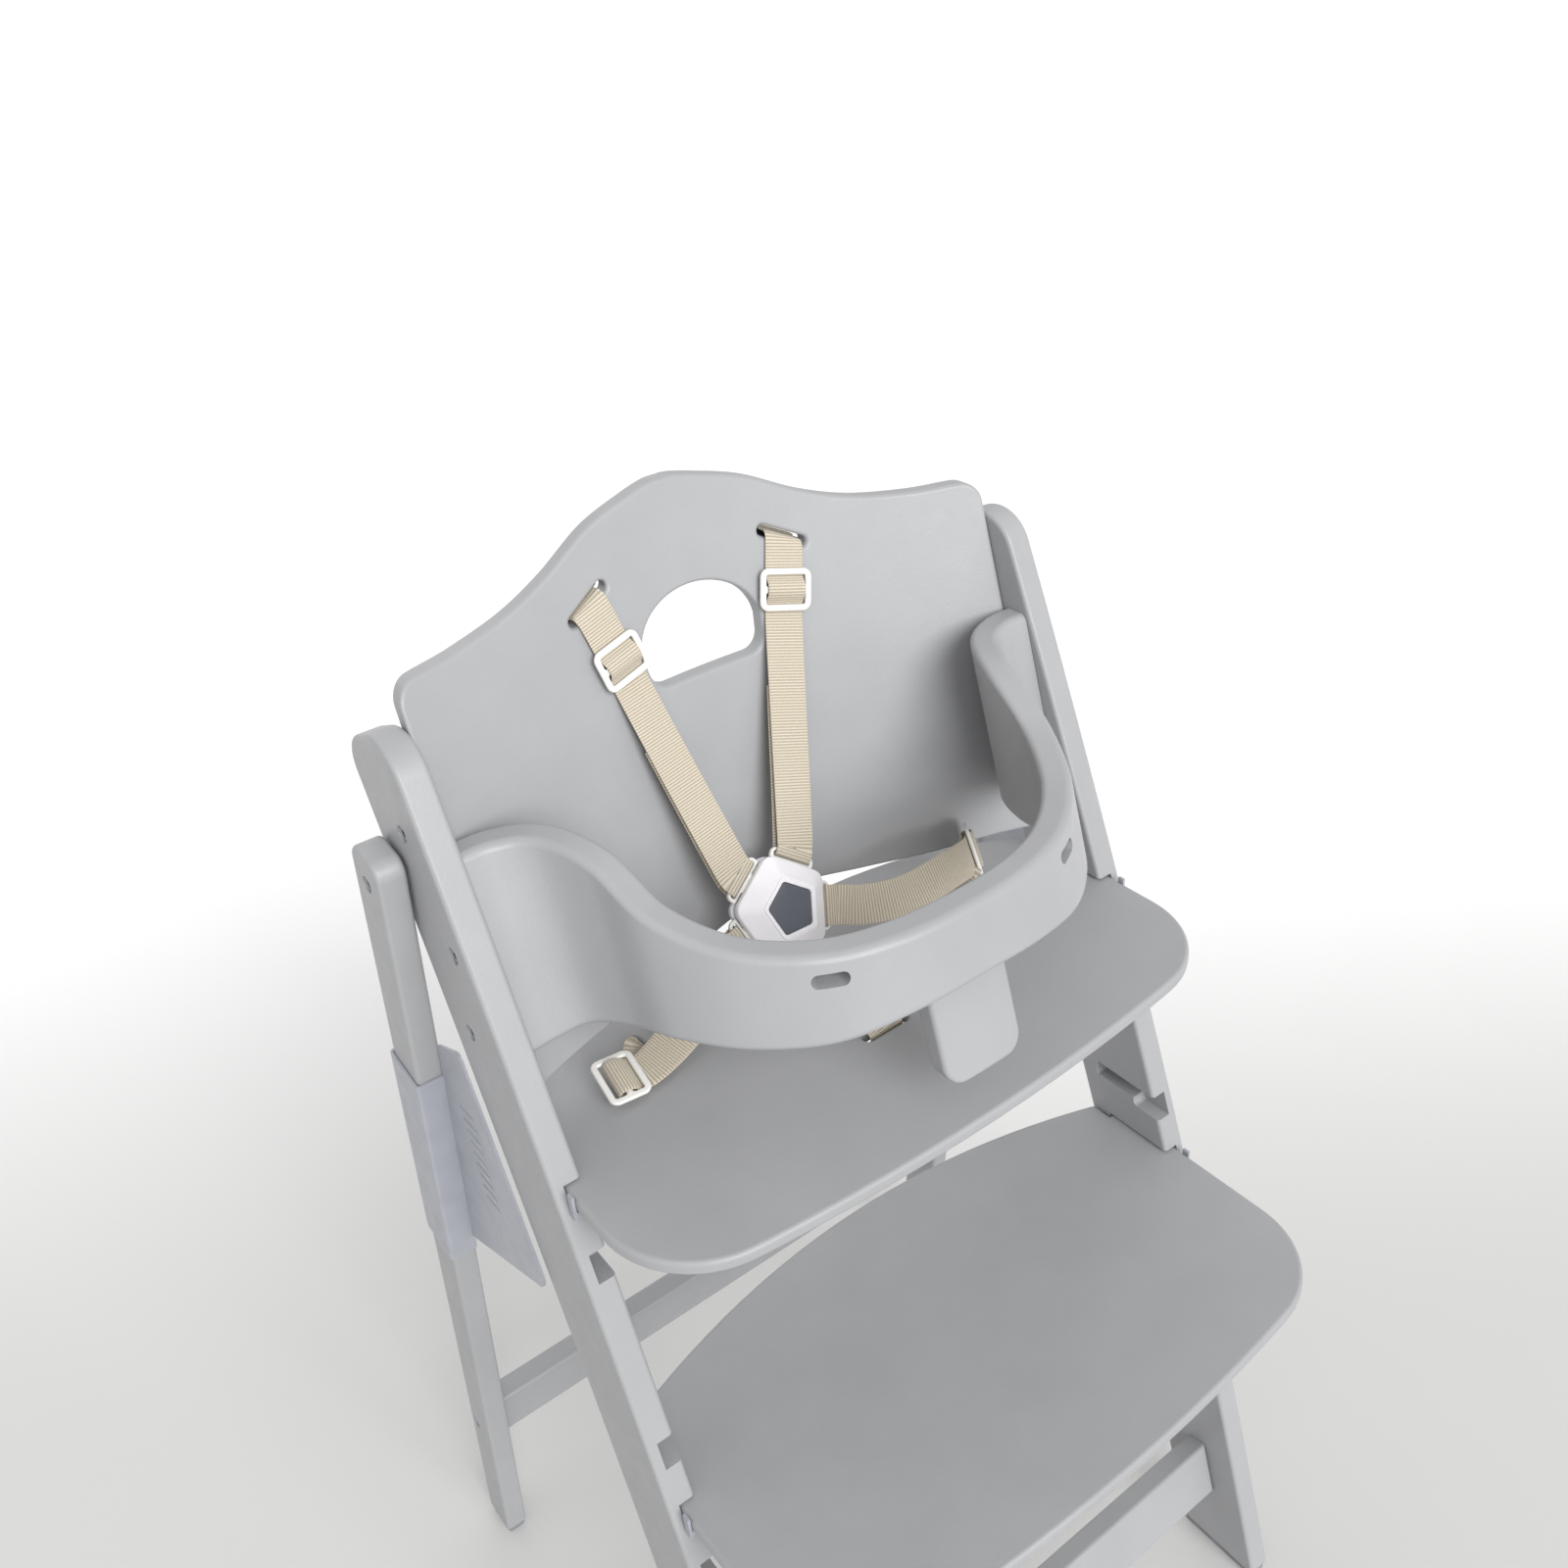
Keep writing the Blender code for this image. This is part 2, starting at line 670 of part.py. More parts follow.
front_rail_bolt = Vector((front_rail_depth, front_rail_height))
rear_rail_bolt = rear_line(rear_rail_drop, rear_rail_across)


# Frame carriers

front_reach = leg_front(footrest_top()) - FOOTREST_OVERHANG
rear_reach = max(point[0] for point in rear_outline())
chair = empty("chair", (0, 0, 0))
chair.location = (0, -(front_reach + rear_reach) / 2, SEAT_HEIGHT)
fold_pivot = empty("fold_pivot", (0, PIVOT_DEPTH, PIVOT_HEIGHT), chair)


def make_front_legs():
    leg = side_view(plate(leg_outline(), LEG_THICK, LEG_EDGE_ROUND), inner_side)
    leg = boolean(leg, groove_cutters(), "DIFFERENCE", "groove_cutter")
    holes = [bolt_hole(leg_outer, d, h, inner_side - OVERRUN, BOLT_RADIUS)
             for d, h in (*back_bolts, guard_bolt, front_rail_bolt)]
    holes.append(cylinder((inner_side - OVERRUN, PIVOT_DEPTH, PIVOT_HEIGHT),
                          (leg_outer + OVERRUN, PIVOT_DEPTH, PIVOT_HEIGHT),
                          PIVOT_BOLT_RADIUS + TOUCH_GAP))
    leg = boolean(leg, joined(holes), "DIFFERENCE", "leg_bolt_cutter")
    origin = (inner_side, leg_front(0), 0)
    place_pair("front_leg", leg, LACQUER, chair, origin)


def make_rear_legs():
    leg = side_view(plate(rear_outline(), REAR_THICK, LEG_EDGE_ROUND), rear_inner)
    holes = [bolt_hole(rear_outer, *rear_rail_bolt, rear_inner - OVERRUN, BOLT_RADIUS),
             bolt_hole(rear_outer, PIVOT_DEPTH, PIVOT_HEIGHT, rear_inner - OVERRUN, PIVOT_BOLT_RADIUS)]
    leg = boolean(leg, joined(holes), "DIFFERENCE", "rear_bolt_cutter")
    origin = (rear_inner, PIVOT_DEPTH, PIVOT_HEIGHT)
    place_pair("rear_leg", leg, LACQUER, fold_pivot, origin)


def rail_mesh(length, centre, lean):
    """A cross rail with rounded edges and a bolt hole in each end."""
    half_length = length / 2
    half_height = RAIL_HEIGHT / 2
    corners = [(-half_length, -half_height), (half_length, -half_height),
               (half_length, half_height), (-half_length, half_height)]
    mesh = plate(corners, RAIL_THICK, RAIL_EDGE_ROUND)
    stand = Matrix.Rotation(math.pi / 2, 4, "X")
    mesh.transform(Matrix.Translation((0, *centre)) @ Matrix.Rotation(-lean, 4, "X") @ stand)
    foot = half_length - RAIL_BOLT_ENTRY
    hole = cylinder((foot, *centre), (half_length + OVERRUN, *centre), BOLT_RADIUS + TOUCH_GAP)
    return boolean(mesh, both_sides([hole]), "DIFFERENCE", "rail_bolt_cutter")


def make_rails():
    length = (inner_side - TOUCH_GAP) * 2
    rail = rail_mesh(length, front_rail_bolt, front_rail_lean)
    place("front_cross_rail", rail, LACQUER, chair, (0, *front_rail_bolt))
    rail = rail_mesh((rear_inner - TOUCH_GAP) * 2, rear_rail_bolt, -REAR_SPLAY)
    place("rear_cross_rail", rail, LACQUER, fold_pivot, (0, *rear_rail_bolt))


def both_sides(meshes):
    return joined(list(meshes) + [mirrored(mesh) for mesh in meshes])


def bolt_pair(name, outer_face, axis, shank_end, radius, parent):
    mesh = sunk_bolt(outer_face, *axis, shank_end, radius)
    place_pair(name, mesh, STEEL, parent, (outer_face, *axis))


def make_bolts():
    entry = inner_side - TOUCH_GAP
    shank_end = entry - BACK_BOLT_ENTRY
    bolt_pair("backrest_bolt_lower", leg_outer, back_bolts[0], shank_end, BOLT_RADIUS, chair)
    bolt_pair("backrest_bolt_upper", leg_outer, back_bolts[1], shank_end, BOLT_RADIUS, chair)
    bolt_pair("guard_bolt", leg_outer, guard_bolt, entry - GUARD_BOLT_ENTRY, BOLT_RADIUS, chair)
    bolt_pair("front_rail_bolt", leg_outer, front_rail_bolt, inner_side - RAIL_BOLT_ENTRY, BOLT_RADIUS, chair)
    bolt_pair("rear_rail_bolt", rear_outer, rear_rail_bolt, rear_inner - RAIL_BOLT_ENTRY, BOLT_RADIUS, fold_pivot)


def make_pivots():
    """Fold pivot bolts, screwed into the front legs, and the washers between the legs."""
    axis = (PIVOT_DEPTH, PIVOT_HEIGHT)
    bolt_pair("pivot_bolt", rear_outer, axis, inner_side + TOUCH_GAP, PIVOT_BOLT_RADIUS, chair)
    disc = cylinder((leg_outer + TOUCH_GAP, *axis), (rear_inner - TOUCH_GAP, *axis), WASHER_RADIUS, 16)
    bore = cylinder((inner_side, *axis), (rear_outer, *axis), PIVOT_BOLT_RADIUS + TOUCH_GAP)
    washer = boolean(disc, bore, "DIFFERENCE", "washer_bore_cutter")
    place_pair("pivot_washer", washer, WHITE_PLASTIC, chair, (leg_outer, *axis))


def make_pads():
    """Foot pads under the four legs."""
    bottom = PAD_THICK + TOUCH_GAP - SEAT_HEIGHT
    half = REAR_WIDTH / 2
    rear_front = rear_line(rear_drop(bottom, -half), -half)[0]
    rear_back = rear_line(rear_drop(bottom, half), half)[0]
    places = (("front", leg_front(bottom), leg_rear(bottom), inner_side, leg_outer, chair),
              ("rear", rear_front, rear_back, rear_inner, rear_outer, fold_pivot))
    for name, front, back, inside, outside, parent in places:
        corners = [(inside + PAD_INSET, front + PAD_INSET), (outside - PAD_INSET, front + PAD_INSET),
                   (outside - PAD_INSET, back - PAD_INSET), (inside + PAD_INSET, back - PAD_INSET)]
        mesh = plate(rounded(corners, [PAD_ROUND] * 4, 3), PAD_THICK)
        mesh.transform(Matrix.Translation((0, 0, PAD_THICK / 2 - SEAT_HEIGHT)))
        centre = ((inside + outside) / 2, (front + back) / 2, -SEAT_HEIGHT)
        place_pair(name + "_foot_pad", mesh, PAD_PLASTIC, parent, centre)


def make_boards():
    seat_slots = [stadium((0, -CROTCH_SLOT_INSET), SLOT_LENGTH, SLOT_WIDTH)]
    for sign in (-1, 1):
        seat_slots.append(stadium((sign * waist_slot_side, WAIST_SLOT_DEPTH), SLOT_LENGTH, SLOT_WIDTH,
                                  math.pi / 2))
    outline = board_outline(0, SEAT_OVERHANG, SEAT_WAIST_REACH, SEAT_REAR_REACH, SEAT_REAR_POWER)
    seat = plate(outline, BOARD_THICK, BOARD_EDGE_ROUND, seat_slots)
    seat.transform(Matrix.Translation((0, 0, board_level(0))))
    place("seat_board", seat, LACQUER, chair, (0, 0, board_level(0)))
    top = footrest_top()
    outline = board_outline(top, FOOTREST_OVERHANG, FOOTREST_WAIST_REACH, FOOTREST_REAR_REACH,
                            FOOTREST_REAR_POWER)
    rest = plate(outline, BOARD_THICK, BOARD_EDGE_ROUND)
    rest.transform(Matrix.Translation((0, 0, board_level(top))))
    origin = (0, leg_front(top), board_level(top))
    carrier = empty("footrest_slide", origin, chair)
    place("footrest_board", rest, LACQUER, carrier, origin)
    return carrier


def make_backrest():
    half = inner_side - TOUCH_GAP
    top = [(half * x, BACK_CORNER_HEIGHT + BACK_CROWN_RISE * rise) for x, rise in BACK_TOP_SHARES]
    low = [(half * x, BACK_LOWER_HEIGHT + BACK_ARCH_RISE * rise) for x, rise in BACK_LOWER_SHARES]
    top.append((half - BACK_CORNER_ROUND - BACK_CORNER_EASE, BACK_CORNER_HEIGHT))
    crown = [smooth_values([Vector(p) for p in top], k / 2) for k in range(2 * (len(top) - 1) + 1)]
    arch = [smooth_values([Vector(p) for p in low], k / 2) for k in range(2 * (len(low) - 1) + 1)]
    corners = crown + [Vector((half, crown[-1].y)), Vector((half, arch[-1].y))] + list(reversed(arch))
    radii = [0] * len(crown) + [BACK_CORNER_ROUND, BACK_CORNER_ROUND] + [0] * len(arch)
    right = rounded(corners, radii, 3)
    outline = right + [Vector((-p.x, p.y)) for p in reversed(right[1:-1])]
    dome = HAND_HOLE_HEIGHT * 0.62
    shoulder = HAND_HOLE_FLOOR + HAND_HOLE_HEIGHT - dome
    hole_half = HAND_HOLE_WIDTH / 2
    hole = rounded([(-hole_half, shoulder), (-hole_half * 0.93, HAND_HOLE_FLOOR),
                    (hole_half * 0.93, HAND_HOLE_FLOOR), (hole_half, shoulder)],
                   [0, HAND_HOLE_ROUND, HAND_HOLE_ROUND, 0], 3)
    for k in range(1, 10):
        angle = math.pi * k / 10
        hole.append(Vector((hole_half * math.cos(angle), shoulder + dome * math.sin(angle))))
    holes = [hole]
    for sign in (-1, 1):
        holes.append(stadium((sign * SHOULDER_SLOT_SIDE, shoulder_slot_height), SLOT_LENGTH, SLOT_WIDTH,
                             -sign * SHOULDER_SLOT_TILT))
    mesh = plate(outline, BACK_THICK, BACK_EDGE_ROUND, holes)
    step = half * 2 / BACK_BEND_STEPS
    slice_mesh(mesh, [-half + step * k for k in range(1, BACK_BEND_STEPS)])

    def bend(p):
        behind = (BACK_THICK / 2 - p.z) / math.cos(back_lean(p.x))
        return Vector((p.x, back_front(p.x, p.y) + behind, p.y))

    reshape(mesh, bend)
    holes = [cylinder((inner_side - BACK_BOLT_ENTRY - TOUCH_GAP * 2, d, h), (inner_side + OVERRUN, d, h),
                      BOLT_RADIUS + TOUCH_GAP) for d, h in back_bolts]
    mesh = boolean(mesh, both_sides(holes), "DIFFERENCE", "back_bolt_cutter")
    place("backrest", mesh, LACQUER, chair, (0, back_front(0, 0), 0))


def lofted(rows, closed=False):
    """Closed body through matching rings of points, with flat ends unless it is closed."""
    work = bmesh.new()
    rings = [[work.verts.new(p) for p in row] for row in rows]
    pairs = list(zip(rings, rings[1:]))
    if closed:
        pairs.append((rings[-1], rings[0]))
    for first, second in pairs:
        for i in range(len(first)):
            work.faces.new((first[i - 1], first[i], second[i], second[i - 1]))
    if not closed:
        work.faces.new(rings[0])
        work.faces.new(rings[-1])
    turn_outwards(work)
    mesh = bpy.data.meshes.new("lofted")
    work.to_mesh(mesh)
    work.free()
    return mesh


def guard_table():
    """Outer face in plan, with top and bottom heights, from the left end to the right."""
    side = inner_side - TOUCH_GAP
    knots = []
    values = zip(GUARD_SIDE_SHARES, GUARD_DEPTH_SHARES, GUARD_TOP_SHARES, GUARD_FALL_SHARES)
    for x, y, rise, fall in values:
        knots.append(Vector((side * x, guard_end_depth - GUARD_REACH * (1 - y),
                             GUARD_FRONT_TOP + GUARD_HUMP_RISE * rise,
                             GUARD_FRONT_BOTTOM - GUARD_FALL * fall)))
    beyond = Vector((side * 2 - knots[-2][0], *knots[-1][1:]))
    right = knots + [beyond]
    full = [Vector((-k[0], *k[1:])) for k in reversed(right[1:])] + right
    count = len(full) - 3
    return [smooth_values(full, 1 + k / GUARD_STEPS) for k in range(GUARD_STEPS * count + 1)]


def guard_section(row, tangent):
    """Ring of the guard's cross-section at one row of the table."""
    inward = Vector((-tangent.y, tangent.x))
    corners = [(0, row[3]), (GUARD_THICK, row[3]), (GUARD_THICK, row[2]), (0, row[2])]
    ring = []
    for across, height in rounded(corners, [GUARD_EDGE_ROUND] * 4, 2):
        spot = row.xy + inward * across
        ring.append(Vector((spot.x, spot.y + RAKE * (height - GUARD_LEVEL), height)))
    return ring


def make_guard():
    rows = guard_table()
    rings = []
    for i, row in enumerate(rows):
        if i in (0, len(rows) - 1):
            tangent = Vector((1, 0))
        else:
            tangent = (rows[i + 1].xy - rows[i - 1].xy).normalized()
        rings.append(guard_section(row, tangent))
    mesh = lofted(rings)
    near = min(range(len(rows)), key=lambda i: abs(rows[i][0] - guard_slot_side))
    tangent = (rows[near + 1].xy - rows[near - 1].xy).normalized()
    turn = Matrix.Rotation(math.atan2(tangent.y, tangent.x), 4, "Z")
    slot = plate(stadium((0, 0), GUARD_SLOT_LENGTH, GUARD_SLOT_WIDTH), GUARD_THICK * 3)
    slot.transform(turn @ Matrix.Rotation(math.pi / 2, 4, "X"))
    spot = rows[near].xy + Vector((-tangent.y, tangent.x)) * GUARD_THICK / 2
    slot.transform(Matrix.Translation((*spot, GUARD_SLOT_HEIGHT)))
    hole = cylinder((inner_side - GUARD_BOLT_ENTRY - TOUCH_GAP * 2, *guard_bolt),
                    (inner_side + OVERRUN, *guard_bolt), BOLT_RADIUS + TOUCH_GAP)
    mesh = boolean(mesh, both_sides([hole, slot]), "DIFFERENCE", "guard_cutter")
    place("front_guard", mesh, LACQUER, chair, (0, guard_end_depth, GUARD_LEVEL))


def make_post():
    """Crotch post, lapped and glued behind the middle of the guard, following its curve and rake."""
    top = GUARD_FRONT_BOTTOM + POST_LAP
    half = POST_WIDTH / 2
    corners = [(-half, POST_BOTTOM), (half, POST_BOTTOM), (half, top), (-half, top)]
    radii = [POST_CORNER_ROUND, POST_CORNER_ROUND, POST_TOP_ROUND, POST_TOP_ROUND]
    mesh = plate(rounded(corners, radii, 5), POST_THICK, POST_EDGE_ROUND)
    rows = guard_table()
    slice_mesh(mesh, [row[0] for row in rows if abs(row[0]) < half])

    def stand(p):
        after = next(i for i, row in enumerate(rows) if row[0] > p.x)
        first, second = rows[after - 1], rows[after]
        share = (p.x - first[0]) / (second[0] - first[0])
        outer = first[1] + (second[1] - first[1]) * share
        face = outer + GUARD_THICK + TOUCH_GAP
        return Vector((p.x, face + POST_THICK / 2 - p.z + RAKE * (p.y - GUARD_LEVEL), p.y))

    place("crotch_post", reshape(mesh, stand), LACQUER, chair, stand(Vector((0, top, 0))))


def make_catches(footrest_carrier):
    """Clear catches: a D-shaped head on the board, a wall round its edge, a plug in the notch."""
    for name, top, parent in (("seat", 0, chair), ("footrest", footrest_top(), footrest_carrier)):
        board_top = board_level(top) + BOARD_THICK / 2 + TOUCH_GAP
        board_low = board_level(top) - BOARD_THICK / 2 - TOUCH_GAP
        front = leg_front(board_top) - TOUCH_GAP
        outside = inner_side + GROOVE_DEPTH - BOARD_END_GAP + TOUCH_GAP + CATCH_WALL
        inside = inner_side - CATCH_LAP
        corners = [(inside, front), (inside, front - CATCH_REACH), (outside, front - CATCH_REACH),
                   (outside, front)]
        head = plate(rounded(corners, [0, CATCH_REACH * 0.6, CATCH_REACH * 0.6, 0], 4), CATCH_TOP)
        head.transform(Matrix.Translation((0, 0, board_top + CATCH_TOP / 2)))
        foot_thick = NOTCH_HEIGHT - SLOT_HEIGHT - TOUCH_GAP
        foot_low = board_low - foot_thick + TOUCH_GAP
        plug_front = front - CATCH_REACH * 0.55
        plug_side = outside - CATCH_WALL - TOUCH_GAP
        corners = [(inner_side + TOUCH_GAP, front + CATCH_PLUG), (inner_side + TOUCH_GAP, plug_front),
                   (plug_side, plug_front), (plug_side, front + CATCH_PLUG)]
        plug = plate(corners, board_low - foot_low)
        plug.transform(Matrix.Translation((0, 0, (board_low + foot_low) / 2)))
        wall_rear = leg_front(foot_low) - TOUCH_GAP
        wall_front = front - CATCH_REACH * 0.62
        corners = [(outside - CATCH_WALL, wall_rear), (outside - CATCH_WALL, wall_front),
                   (outside, wall_front), (outside, wall_rear)]
        wall_top = board_top + CATCH_TOP / 2
        wall = plate(corners, wall_top - foot_low)
        wall.transform(Matrix.Translation((0, 0, (wall_top + foot_low) / 2)))
        corners = [(inner_side + TOUCH_GAP, wall_rear - TOUCH_GAP), (inner_side + TOUCH_GAP, wall_front),
                   (outside - CATCH_WALL / 2, wall_front), (outside - CATCH_WALL / 2, wall_rear - TOUCH_GAP)]
        sill = plate(corners, (board_low - foot_low) * 0.9)
        sill.transform(Matrix.Translation((0, 0, (board_low + foot_low) / 2)))
        catch = boolean(head, wall, "UNION", "catch_wall")
        catch = boolean(catch, sill, "UNION", "catch_sill")
        catch = boolean(catch, plug, "UNION", "catch_plug")
        origin = (inner_side, front, board_top)
        for side, sign in (("right", 1), ("left", -1)):
            at = (sign * origin[0], origin[1], origin[2])
            carrier = empty(name + "_catch_slide_" + side, at, parent)
            mesh = catch.copy() if sign > 0 else mirrored(catch)
            place(name + "_catch_" + side, mesh, CLEAR_PLASTIC, carrier, at)


def make_fold_guards():
    """Clear guards: a channel round the rear leg, with a web in the wedge between the legs."""
    half = REAR_WIDTH / 2 + TOUCH_GAP
    start = rear_drop(FOLD_GUARD_TOP, 0)
    outline = []
    face_out = rear_outer + TOUCH_GAP + FOLD_GUARD_WALL
    corners = [(-half - FOLD_GUARD_WALL, rear_inner), (-half - FOLD_GUARD_WALL, face_out),
               (half + FOLD_GUARD_WALL, face_out), (half + FOLD_GUARD_WALL, rear_inner),
               (half, rear_inner), (half, face_out - FOLD_GUARD_WALL), (-half, face_out - FOLD_GUARD_WALL),
               (-half, rear_inner)]
    outline = rounded(corners, [0, FOLD_GUARD_WALL * 1.6, FOLD_GUARD_WALL * 1.6, 0, 0, FOLD_GUARD_WALL * 0.6, FOLD_GUARD_WALL * 0.6, 0], 2)
    channel = plate(outline, FOLD_GUARD_LENGTH)

    def stand(p):
        spot = rear_line(start + FOLD_GUARD_LENGTH / 2 - p.z, p.x)
        return Vector((p.y, spot.x, spot.y))

    reshape(channel, stand)
    seam = -half - FOLD_GUARD_WALL / 2
    web_low = -FOLD_GUARD_WEB_FOOT
    front_gap = FOLD_GUARD_WEB_GAP
    upper = rear_line(start, seam)
    flap = rear_line(start - FOLD_GUARD_FLAP_RISE * 0.7, seam - FOLD_GUARD_WALL)
    crest = FOLD_GUARD_TOP + FOLD_GUARD_FLAP_RISE
    corners = [upper, flap, (leg_rear(crest) + front_gap, crest),
               (leg_rear(crest / 2) + front_gap, crest / 2), (leg_rear(0) + front_gap, 0),
               (leg_rear(web_low / 2) + front_gap, web_low / 2), (leg_rear(web_low) + front_gap, web_low),
               rear_line(start + FOLD_GUARD_LENGTH * 0.92, seam)]
    outline = rounded(corners, [0, 0, FOLD_GUARD_WALL * 3, 0, 0, 0, FOLD_GUARD_WALL * 8, 0], 4)
    web = side_view(plate(outline, FOLD_GUARD_WALL), rear_inner + TOUCH_GAP)
    guard = boolean(channel, web, "UNION", "fold_guard_web")
    place_pair("fold_guard", guard, CLEAR_PLASTIC, fold_pivot, (rear_inner, *rear_line(start, 0)))


# Harness. A strap is a list of (point, width direction) pairs, with its corners cut.

def cut_corners(path):
    """The path with each corner replaced by the quarter points of its two sides."""
    smooth = [path[0]]
    for (start, wide_start), (end, wide_end) in zip(path, path[1:]):
        for share in (0.25, 0.75):
            smooth.append((start.lerp(end, share), wide_start.lerp(wide_end, share)))
    return smooth + [path[-1]]


def strap(name, path):
    """A webbing strap along a path."""
    path = cut_corners(path)
    rings = []
    for i, (point, wide) in enumerate(path):
        tangent = (path[min(i + 1, len(path) - 1)][0] - path[max(i - 1, 0)][0]).normalized()
        wide = (wide - tangent * wide.dot(tangent)).normalized() * WEB_WIDTH / 2
        thick = tangent.cross(wide).normalized() * WEB_THICK / 2
        rings.append([point - wide - thick, point + wide - thick, point + wide + thick, point - wide + thick])
    place(name, lofted(rings), WEBBING, chair, path[-1][0])


ply_radius = ANCHOR_PIN_RADIUS + TOUCH_GAP + WEB_THICK / 2
ply_lift = PLY_GAP + WEB_THICK / 2
pin_drop = ANCHOR_PIN_RADIUS + WEB_THICK + TOUCH_GAP * 2


def anchored(name, slot, away, outward, wide, board):
    """Strap end looped round a pin behind a slotted board; it leaves the slot's front face."""
    pin = -board - pin_drop
    steps = ((-ply_radius, pin + ply_radius / 3), (-ply_radius, pin - ply_radius),
             (ply_radius, pin - ply_radius), (ply_radius, pin + ply_radius * 0.8),
             (ply_radius / 3, -board), (ply_radius / 5, ply_lift))
    centre = slot + outward * pin
    half = wide * ANCHOR_PIN_LENGTH / 2
    place(name, cylinder(centre - half, centre + half, ANCHOR_PIN_RADIUS), STEEL, chair, centre)
    return [(slot - away * across + outward * out, wide) for across, out in steps]


def frame_of(travel, wide):
    """Unit travel, width and normal directions that are square to one another."""
    travel = Vector(travel).normalized()
    wide = Vector(wide)
    wide = (wide - travel * wide.dot(travel)).normalized()
    return travel, wide, travel.cross(wide)


slider_half_width = WEB_WIDTH / 2 + SIDE_CLEAR + SLIDER_BAR
slider_window = (SLIDER_LENGTH - SLIDER_BAR * 3) / 2
slider_outer_bar = SLIDER_BAR / 2 + slider_window
inner_turn = slider_outer_bar - SLIDER_THICK / 4
bar_turn = SLIDER_BAR / 2 + TOUCH_GAP * 3
seat_top = board_level(0) + BOARD_THICK / 2


def slider(name, centre, travel, wide, normal):
    """Three-bar slider: travel runs along the strap, wide along the bars."""
    half = SLIDER_LENGTH / 2
    corners = [(-half, -slider_half_width), (half, -slider_half_width),
               (half, slider_half_width), (-half, slider_half_width)]
    windows = []
    for sign in (-1, 1):
        middle = sign * (SLIDER_BAR + slider_window) / 2
        reach = slider_window / 2
        side = WEB_WIDTH / 2 + SIDE_CLEAR
        windows.append([(middle - reach, -side), (middle + reach, -side),
                        (middle + reach, side), (middle - reach, side)])
    mesh = plate(rounded(corners, [SLIDER_ROUND] * 4, 3), SLIDER_THICK, SLIDER_EDGE_ROUND, windows, 0)

    def turn(p):
        return centre + travel * p.x + wide * p.y + normal * p.z

    place(name, reshape(mesh, turn), WHITE_PLASTIC, chair, centre)


def along(centre, travel, wide, normal, steps):
    return [(centre + travel * a + normal * n, wide) for a, n in steps]


# Buckle directions: right and up in its face, and out of its face

buckle_centre = Vector(BUCKLE_PLACE)
buckle_right = Vector((math.cos(BUCKLE_TURN), math.sin(BUCKLE_TURN), 0))
buckle_out = Vector((math.sin(BUCKLE_TURN) * math.cos(BUCKLE_LIFT),
                     -math.cos(BUCKLE_TURN) * math.cos(BUCKLE_LIFT), math.sin(BUCKLE_LIFT)))
buckle_up = buckle_out.cross(buckle_right)
apothem = BUCKLE_RADIUS * math.cos(math.pi / 5)
cover_face = BLADE_THICK / 2 + TOUCH_GAP
tongue_names = ("left_shoulder", "left_waist", "crotch", "right_waist", "right_shoulder")
window_start = apothem + TONGUE_BAR * 0.8
outer_bar = window_start + TONGUE_WINDOW
tongue_end = outer_bar + TONGUE_BAR
tongue_half_width = WEB_WIDTH / 2 + SIDE_CLEAR + TONGUE_BAR


def tongue_frame(index):
    """Outward, width and face directions of one of the five tongues."""
    angle = math.pi / 2 + BUCKLE_SPIN + math.tau * (index + 0.5) / 5
    outward = buckle_right * math.cos(angle) + buckle_up * math.sin(angle)
    return outward, buckle_out.cross(outward), buckle_out


def tongue_loop(index, run, width_before):
    """Webbing coming in over a tongue's outer bar, through its window and back below."""
    outward, wide, out = tongue_frame(index)
    if wide.dot(width_before) < 0:
        wide = -wide
    ring = BLADE_THICK / 2 + TOUCH_GAP + WEB_THICK * 0.95
    turn = outer_bar - ply_lift - WEB_THICK / 4
    steps = ((run, ply_lift), (tongue_end + TONGUE_BAR * 1.5, ring * 0.8), (tongue_end, ring),
             (turn, ring), (turn, -ring), (tongue_end, -ring),
             (tongue_end + TONGUE_BAR * 1.5, -ring * 0.8), (run, -ply_lift))
    return along(buckle_centre, outward, wide, out, steps)


def pentagon(radius, corner, steps=4):
    corners = []
    for k in range(5):
        angle = math.pi / 2 + BUCKLE_SPIN + math.tau * k / 5
        corners.append((radius * math.cos(angle), radius * math.sin(angle)))
    return rounded(corners, [corner] * 5, steps)


def set_in_buckle(mesh, level):
    """Put a flat mesh into the buckle, its middle plane at a level along the outward axis."""
    def turn(p):
        return buckle_centre + buckle_right * p.x + buckle_up * p.y + buckle_out * (p.z + level)
    return reshape(mesh, turn)


def make_tongues():
    for index, name in enumerate(tongue_names):
        outward, wide, out = tongue_frame(index)
        blade = BLADE_WIDTH / 2
        start = apothem + TOUCH_GAP
        corners = [(BLADE_START, -blade), (start, -blade), (start, -tongue_half_width),
                   (tongue_end, -tongue_half_width), (tongue_end, tongue_half_width),
                   (start, tongue_half_width), (start, blade), (BLADE_START, blade)]
        radii = [TONGUE_BAR, 0, TONGUE_BAR / 2, TONGUE_ROUND, TONGUE_ROUND, TONGUE_BAR / 2, 0, TONGUE_BAR]
        side = WEB_WIDTH / 2 + SIDE_CLEAR
        window = [(window_start, -side), (outer_bar, -side), (outer_bar, side), (window_start, side)]
        mesh = plate(rounded(corners, radii, 3), BLADE_THICK, 0, [window])
        centre = buckle_centre

        def turn(p):
            return centre + outward * p.x + wide * p.y + out * p.z

        place("tongue_" + name, reshape(mesh, turn), WHITE_PLASTIC, chair, centre + outward * tongue_end)


